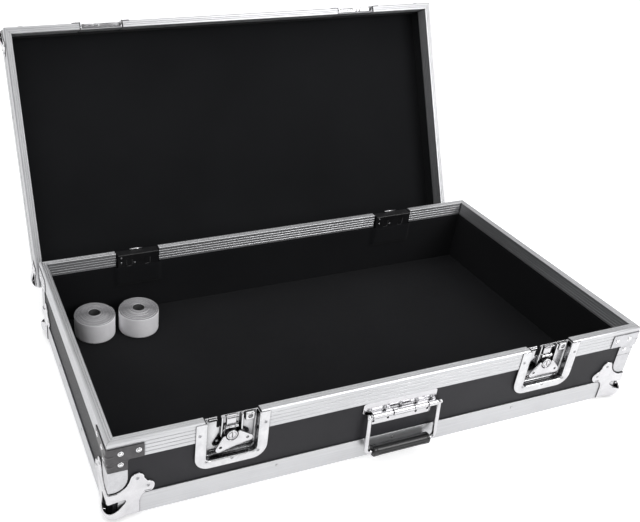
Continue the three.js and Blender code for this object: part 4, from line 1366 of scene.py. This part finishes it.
for hand, seed, start in (("left", 1.7, 0.4), ("right", 8.3, 2.1)):
    node = f"tape_roll_{hand}"
    a, b = low(node), high(node)
    width = b.z - a.z
    where = move((a.x + b.x) / 2, (a.y + b.y) / 2, a.z) @ rotate(start, "Z")
    look(node, tape_roll(width, seed), where, node, "hook_loop_tape")
    wall = [(CORE_INSIDE, 0.5), (CORE_OUTSIDE, 0.5), (CORE_OUTSIDE, width - 2.5)]
    core = turned("core", wall + [(CORE_INSIDE, width - 2.5), wall[0]], 40)
    piece(f"tape_core_{hand}", core, where, node, "hook_loop_tape", CORE_BOARD)


# ---- floor, light and camera ----
def stage_floor():
    """A pale sweep: flat under the case, curving up far behind it."""
    points, faces = [], []
    wide, deep, bend_at, bend, top = 9.0, 5.0, 2.5, 2.0, 4.0
    profile = [(-deep, 0.0), (bend_at, 0.0)]
    for a in np.linspace(0, QUARTER, 10):
        profile.append((bend_at + bend * math.sin(a), bend - bend * math.cos(a)))
    profile.append((bend_at + bend, top))
    for y, z in profile:
        points += [(-wide, y, z), (wide, y, z)]
    for i in range(len(profile) - 1):
        faces.append([2 * i, 2 * i + 1, 2 * i + 3, 2 * i + 2])
    made = linked("floor", mesh_of("floor", points, faces))
    f = Finish("floor")
    mottle = f.between(f.noise(f.position(), 3.0, 3.0), 0, 1)
    f.set(Base_Color=f.mix(mottle, (0.90, 0.90, 0.905), (0.93, 0.93, 0.935)))
    f.set(Roughness=0.85, Specular_IOR_Level=0.1)
    f.set(Emission_Color=(1, 1, 1, 1), Emission_Strength=0.42)
    made.data.materials.append(f.material)


def area_light(name, at, aim, size, power):
    data = bpy.data.lights.new(name, "AREA")
    data.shape = "RECTANGLE"
    data.size, data.size_y = size
    data.energy = power
    lamp = linked(name, data)
    lamp.location = at
    lamp.rotation_euler = (Vector(aim) - Vector(at)).to_track_quat("-Z", "Y").to_euler()


def studio():
    """Soft lights in a room that is pale above and dim at the sides, white to the camera."""
    world = bpy.data.worlds.new("studio")
    bpy.context.scene.world = world
    world.use_nodes = True
    n = Nodes(world.node_tree)
    split = n.node("SeparateXYZ", {0: n.node("TexCoord").outputs["Generated"]})
    height = n.node("MapRange", {"Value": split.outputs["Z"], "From Min": -1}).outputs[0]
    shades = n.node("ValToRGB", {0: height})
    stops = shades.color_ramp.elements
    stops[0].position, stops[0].color = 0.40, (0.62, 0.62, 0.63, 1)
    stops[1].position, stops[1].color = 0.86, (1.0, 1.0, 1.0, 1)
    stops.new(0.56).color = (0.16, 0.16, 0.175, 1)
    room = n.tree.nodes["Background"]
    n.put(room.inputs["Color"], shades.outputs[0])
    n.put(room.inputs["Strength"], 0.7)
    seen = n.node("Background", {"Color": (1, 1, 1, 1), "Strength": 1.0})
    by_camera = n.node("LightPath").outputs["Is Camera Ray"]
    choose = n.node("MixShader", {0: by_camera, 1: room.outputs[0], 2: seen.outputs[0]})
    n.put(n.tree.nodes["World Output"].inputs["Surface"], choose.outputs[0])
    area_light("key", (1.6, -2.3, 1.7), (0, 0, 0.1), (1.5, 1.5), 46)
    area_light("fill", (-2.2, -1.4, 1.9), (0, 0, 0.1), (1.8, 1.4), 12)
    area_light("overhead", (0.0, 0.3, 3.0), (0, 0, 0), (2.4, 1.6), 20)
    bpy.context.scene.view_settings.view_transform = "Standard"
    bpy.context.scene.view_settings.look = "None"


# The picture's own angle: where the camera stands, how it is turned, and its lens.
CAMERA_AT = (-0.697248, -1.248072, 0.993457)
CAMERA_YAW = 0.353  # to the right of straight ahead
CAMERA_PITCH = 0.526  # downwards
CAMERA_ROLL = 0.035
IMAGE = (640, 522)
FOCAL = 796.944  # in widths of one image point
CENTRE = (183.779, 245.255)  # where the lens axis meets the image
SENSOR = 36


def camera():
    """The camera of the picture, its lens axis off the middle of the image."""
    data = bpy.data.cameras.new("camera")
    made = linked("camera", data)
    cy, sy = math.cos(CAMERA_YAW), math.sin(CAMERA_YAW)
    cp, sp = math.cos(CAMERA_PITCH), math.sin(CAMERA_PITCH)
    ahead = Vector((sy * cp, cy * cp, -sp))
    right = Vector((cy, -sy, 0))
    up = right.cross(ahead)
    cr, sr = math.cos(CAMERA_ROLL), math.sin(CAMERA_ROLL)
    right, up = cr * right + sr * up, -sr * right + cr * up
    made.matrix_world = move(*CAMERA_AT) @ Matrix(
        [[right[i], up[i], -ahead[i]] for i in range(3)]
    ).to_4x4()
    data.sensor_width = SENSOR
    data.lens = SENSOR * FOCAL / IMAGE[0]
    data.shift_x = (IMAGE[0] / 2 - CENTRE[0]) / IMAGE[0]
    data.shift_y = (CENTRE[1] - IMAGE[1] / 2) / IMAGE[0]
    data.clip_start, data.clip_end = 0.02, 50
    bpy.context.scene.camera = made


stage_floor()
studio()
camera()
